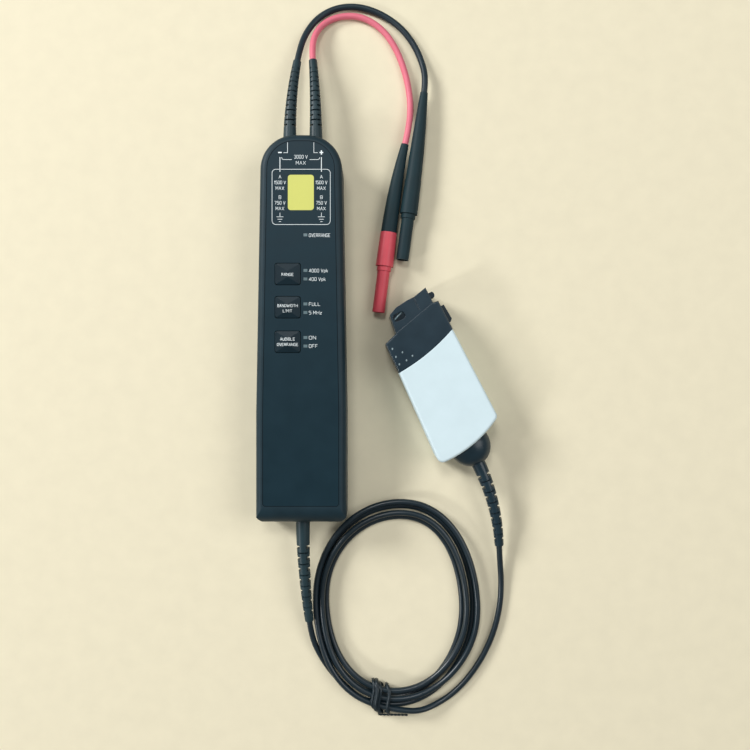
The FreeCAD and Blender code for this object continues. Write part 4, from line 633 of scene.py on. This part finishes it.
def ribbon(shape, centres, sides, section):
    """Sweep a section along points. sides are its width's directions there."""
    rings = []
    for index, (centre, side) in enumerate(zip(centres, sides)):
        before = centres[max(index - 1, 0)]
        after = centres[min(index + 1, len(centres) - 1)]
        heading = (after - before).normalized()
        side = (side - heading * side.dot(heading)).normalized()
        out = side.cross(heading)
        rings.append([shape.verts.new(mm(*(centre + side * across + out * rise)))
                      for across, rise in section])
    for ring, after in zip(rings, rings[1:]):
        bridge(shape, ring, after)
    shape.faces.new(rings[0])
    shape.faces.new(rings[-1][::-1])


def flattened(turn):
    """A circle's coordinate, pushed out towards a rounded box's."""
    return math.copysign(abs(turn) ** WRAP_ROUNDNESS, turn)


def tie_wraps():
    """The ribbon's middle line round the bundle, wrap by wrap, from its outer side over the top."""
    across = UP.cross(TIE_HEADING)
    half = TIE_PITCH + CABLE_DIAMETER / 2 / MM
    stations = [(wrap, quarter) for wrap in range(len(TIE_WRAPS)) for quarter in range(4)]
    following = stations[1:] + [(len(TIE_WRAPS) - 1, 0)]
    centres = []
    for (wrap, quarter), (after, later) in zip(stations, following):
        places, outer, inner, top = TIE_WRAPS[wrap]
        later_place = TIE_WRAPS[after][0][later]
        for step in range(WRAP_STEPS):
            share = step / WRAP_STEPS
            ease = share * share * (3 - 2 * share)
            angle = math.pi - (quarter + share) * math.pi / 2
            sideways, rise = math.cos(angle), math.sin(angle)
            reach = flattened(sideways) * (half + (inner if sideways > 0 else outer))
            height = flattened(rise) * (top if rise > 0 else TIE_UNDER)
            along = places[quarter] + (later_place - places[quarter]) * ease
            centres.append(TIE_ORIGIN + across * (TIE_PITCH + reach) + TIE_HEADING * along
                           + UP * (TIE_MIDDLE_HEIGHT + height))
    return centres


def tie_tail(phase, root):
    """One of the two ends: from its wrap down to the knot, then twisted round the other end."""
    run = TAIL_END - TAIL_KNOT
    swing = run.normalized().cross(UP)
    centres = []
    sides = []
    for step in range(TAIL_STEPS + 1):
        share = step / TAIL_STEPS
        angle = phase + share * 2 * TAIL_TURNS * math.pi
        turn = swing * math.cos(angle) + UP * math.sin(angle)
        centres.append(TAIL_KNOT + run * share + turn * TAIL_TWIST)
        sides.append(turn.cross(run).normalized())
    shares = [step / DESCENT_STEPS for step in range(DESCENT_STEPS)]
    descent = [root.lerp(centres[0], share) for share in shares]
    return descent + centres, [TIE_HEADING.lerp(sides[0], share) for share in shares] + sides


def make_tie():
    """A ribbon with a wire core, wound round the bundle, its two ends twisted together."""
    shape = bmesh.new()
    wraps = tie_wraps()
    ribbon(shape, wraps, [TIE_HEADING] * len(wraps), TIE_SECTION)
    narrow = [(across * TAIL_WIDTH, rise) for across, rise in TIE_SECTION]
    for phase, root in ((0, wraps[0]), (math.pi, wraps[-1])):
        ribbon(shape, *tie_tail(phase, root), narrow)
    piece = mesh_piece("wire_tie", shape, "root", "tie", smooth=True)
    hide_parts("twist_tie")
    return piece


tie = make_tie()


# ---------------------------------------------------------------- floor, light and camera

FLOOR_HALF = 3.0
LAMP_AIM = Vector((0.05, -0.02, 0))
# Each lamp's name, place and size in metres, and power in watts.
LAMPS = (
    ("window_light", (-2.1, 1.3, 1.4), 0.9, 64),
    ("fill_light", (1.6, 0.3, 1.9), 1.6, 20),
    ("ceiling_light", (-0.2, 0.8, 1.8), 0.5, 9),
    ("side_light", (-1.9, -0.9, 1.2), 0.4, 16),
)
ROOM_COLOUR = (1.0, 0.99, 0.96, 1.0)
ROOM_STRENGTH = 0.2
LENS = 38.6
SENSOR_WIDTH = 36.0
CAMERA_PLACE = (45.2, -28.0, 519.0)


def lay_floor():
    """A plain pale table top under the object."""
    mesh = bpy.data.meshes.new("table_top")
    corners = [(x * FLOOR_HALF, y * FLOOR_HALF, 0) for x, y in ((-1, -1), (1, -1), (1, 1), (-1, 1))]
    mesh.from_pydata(corners, [], [(0, 1, 2, 3)])
    mesh.materials.append(finish("table_paint", (226, 218, 191), 0.75, grain=1.2, spread=0.02))
    floor = bpy.data.objects.new("table_top", mesh)
    bpy.context.scene.collection.objects.link(floor)


def add_lamp(name, place, size, power):
    """A soft round lamp that looks at the middle of the object."""
    light = bpy.data.lights.new(name, "AREA")
    light.shape = "DISK"
    light.size = size
    light.energy = power
    lamp = bpy.data.objects.new(name, light)
    lamp.location = place
    lamp.rotation_euler = (LAMP_AIM - Vector(place)).to_track_quat("-Z", "Y").to_euler()
    bpy.context.scene.collection.objects.link(lamp)


lay_floor()
for lamp_row in LAMPS:
    add_lamp(*lamp_row)

world = bpy.data.worlds.new("soft_room")
world.use_nodes = True
background = world.node_tree.nodes["Background"]
background.inputs["Color"].default_value = ROOM_COLOUR
background.inputs["Strength"].default_value = ROOM_STRENGTH
bpy.context.scene.world = world
bpy.context.scene.view_settings.view_transform = "Standard"

camera_data = bpy.data.cameras.new("main_camera")
camera_data.lens = LENS
camera_data.sensor_width = SENSOR_WIDTH
camera = bpy.data.objects.new("main_camera", camera_data)
camera.location = mm(*CAMERA_PLACE)
bpy.context.scene.collection.objects.link(camera)
bpy.context.scene.camera = camera
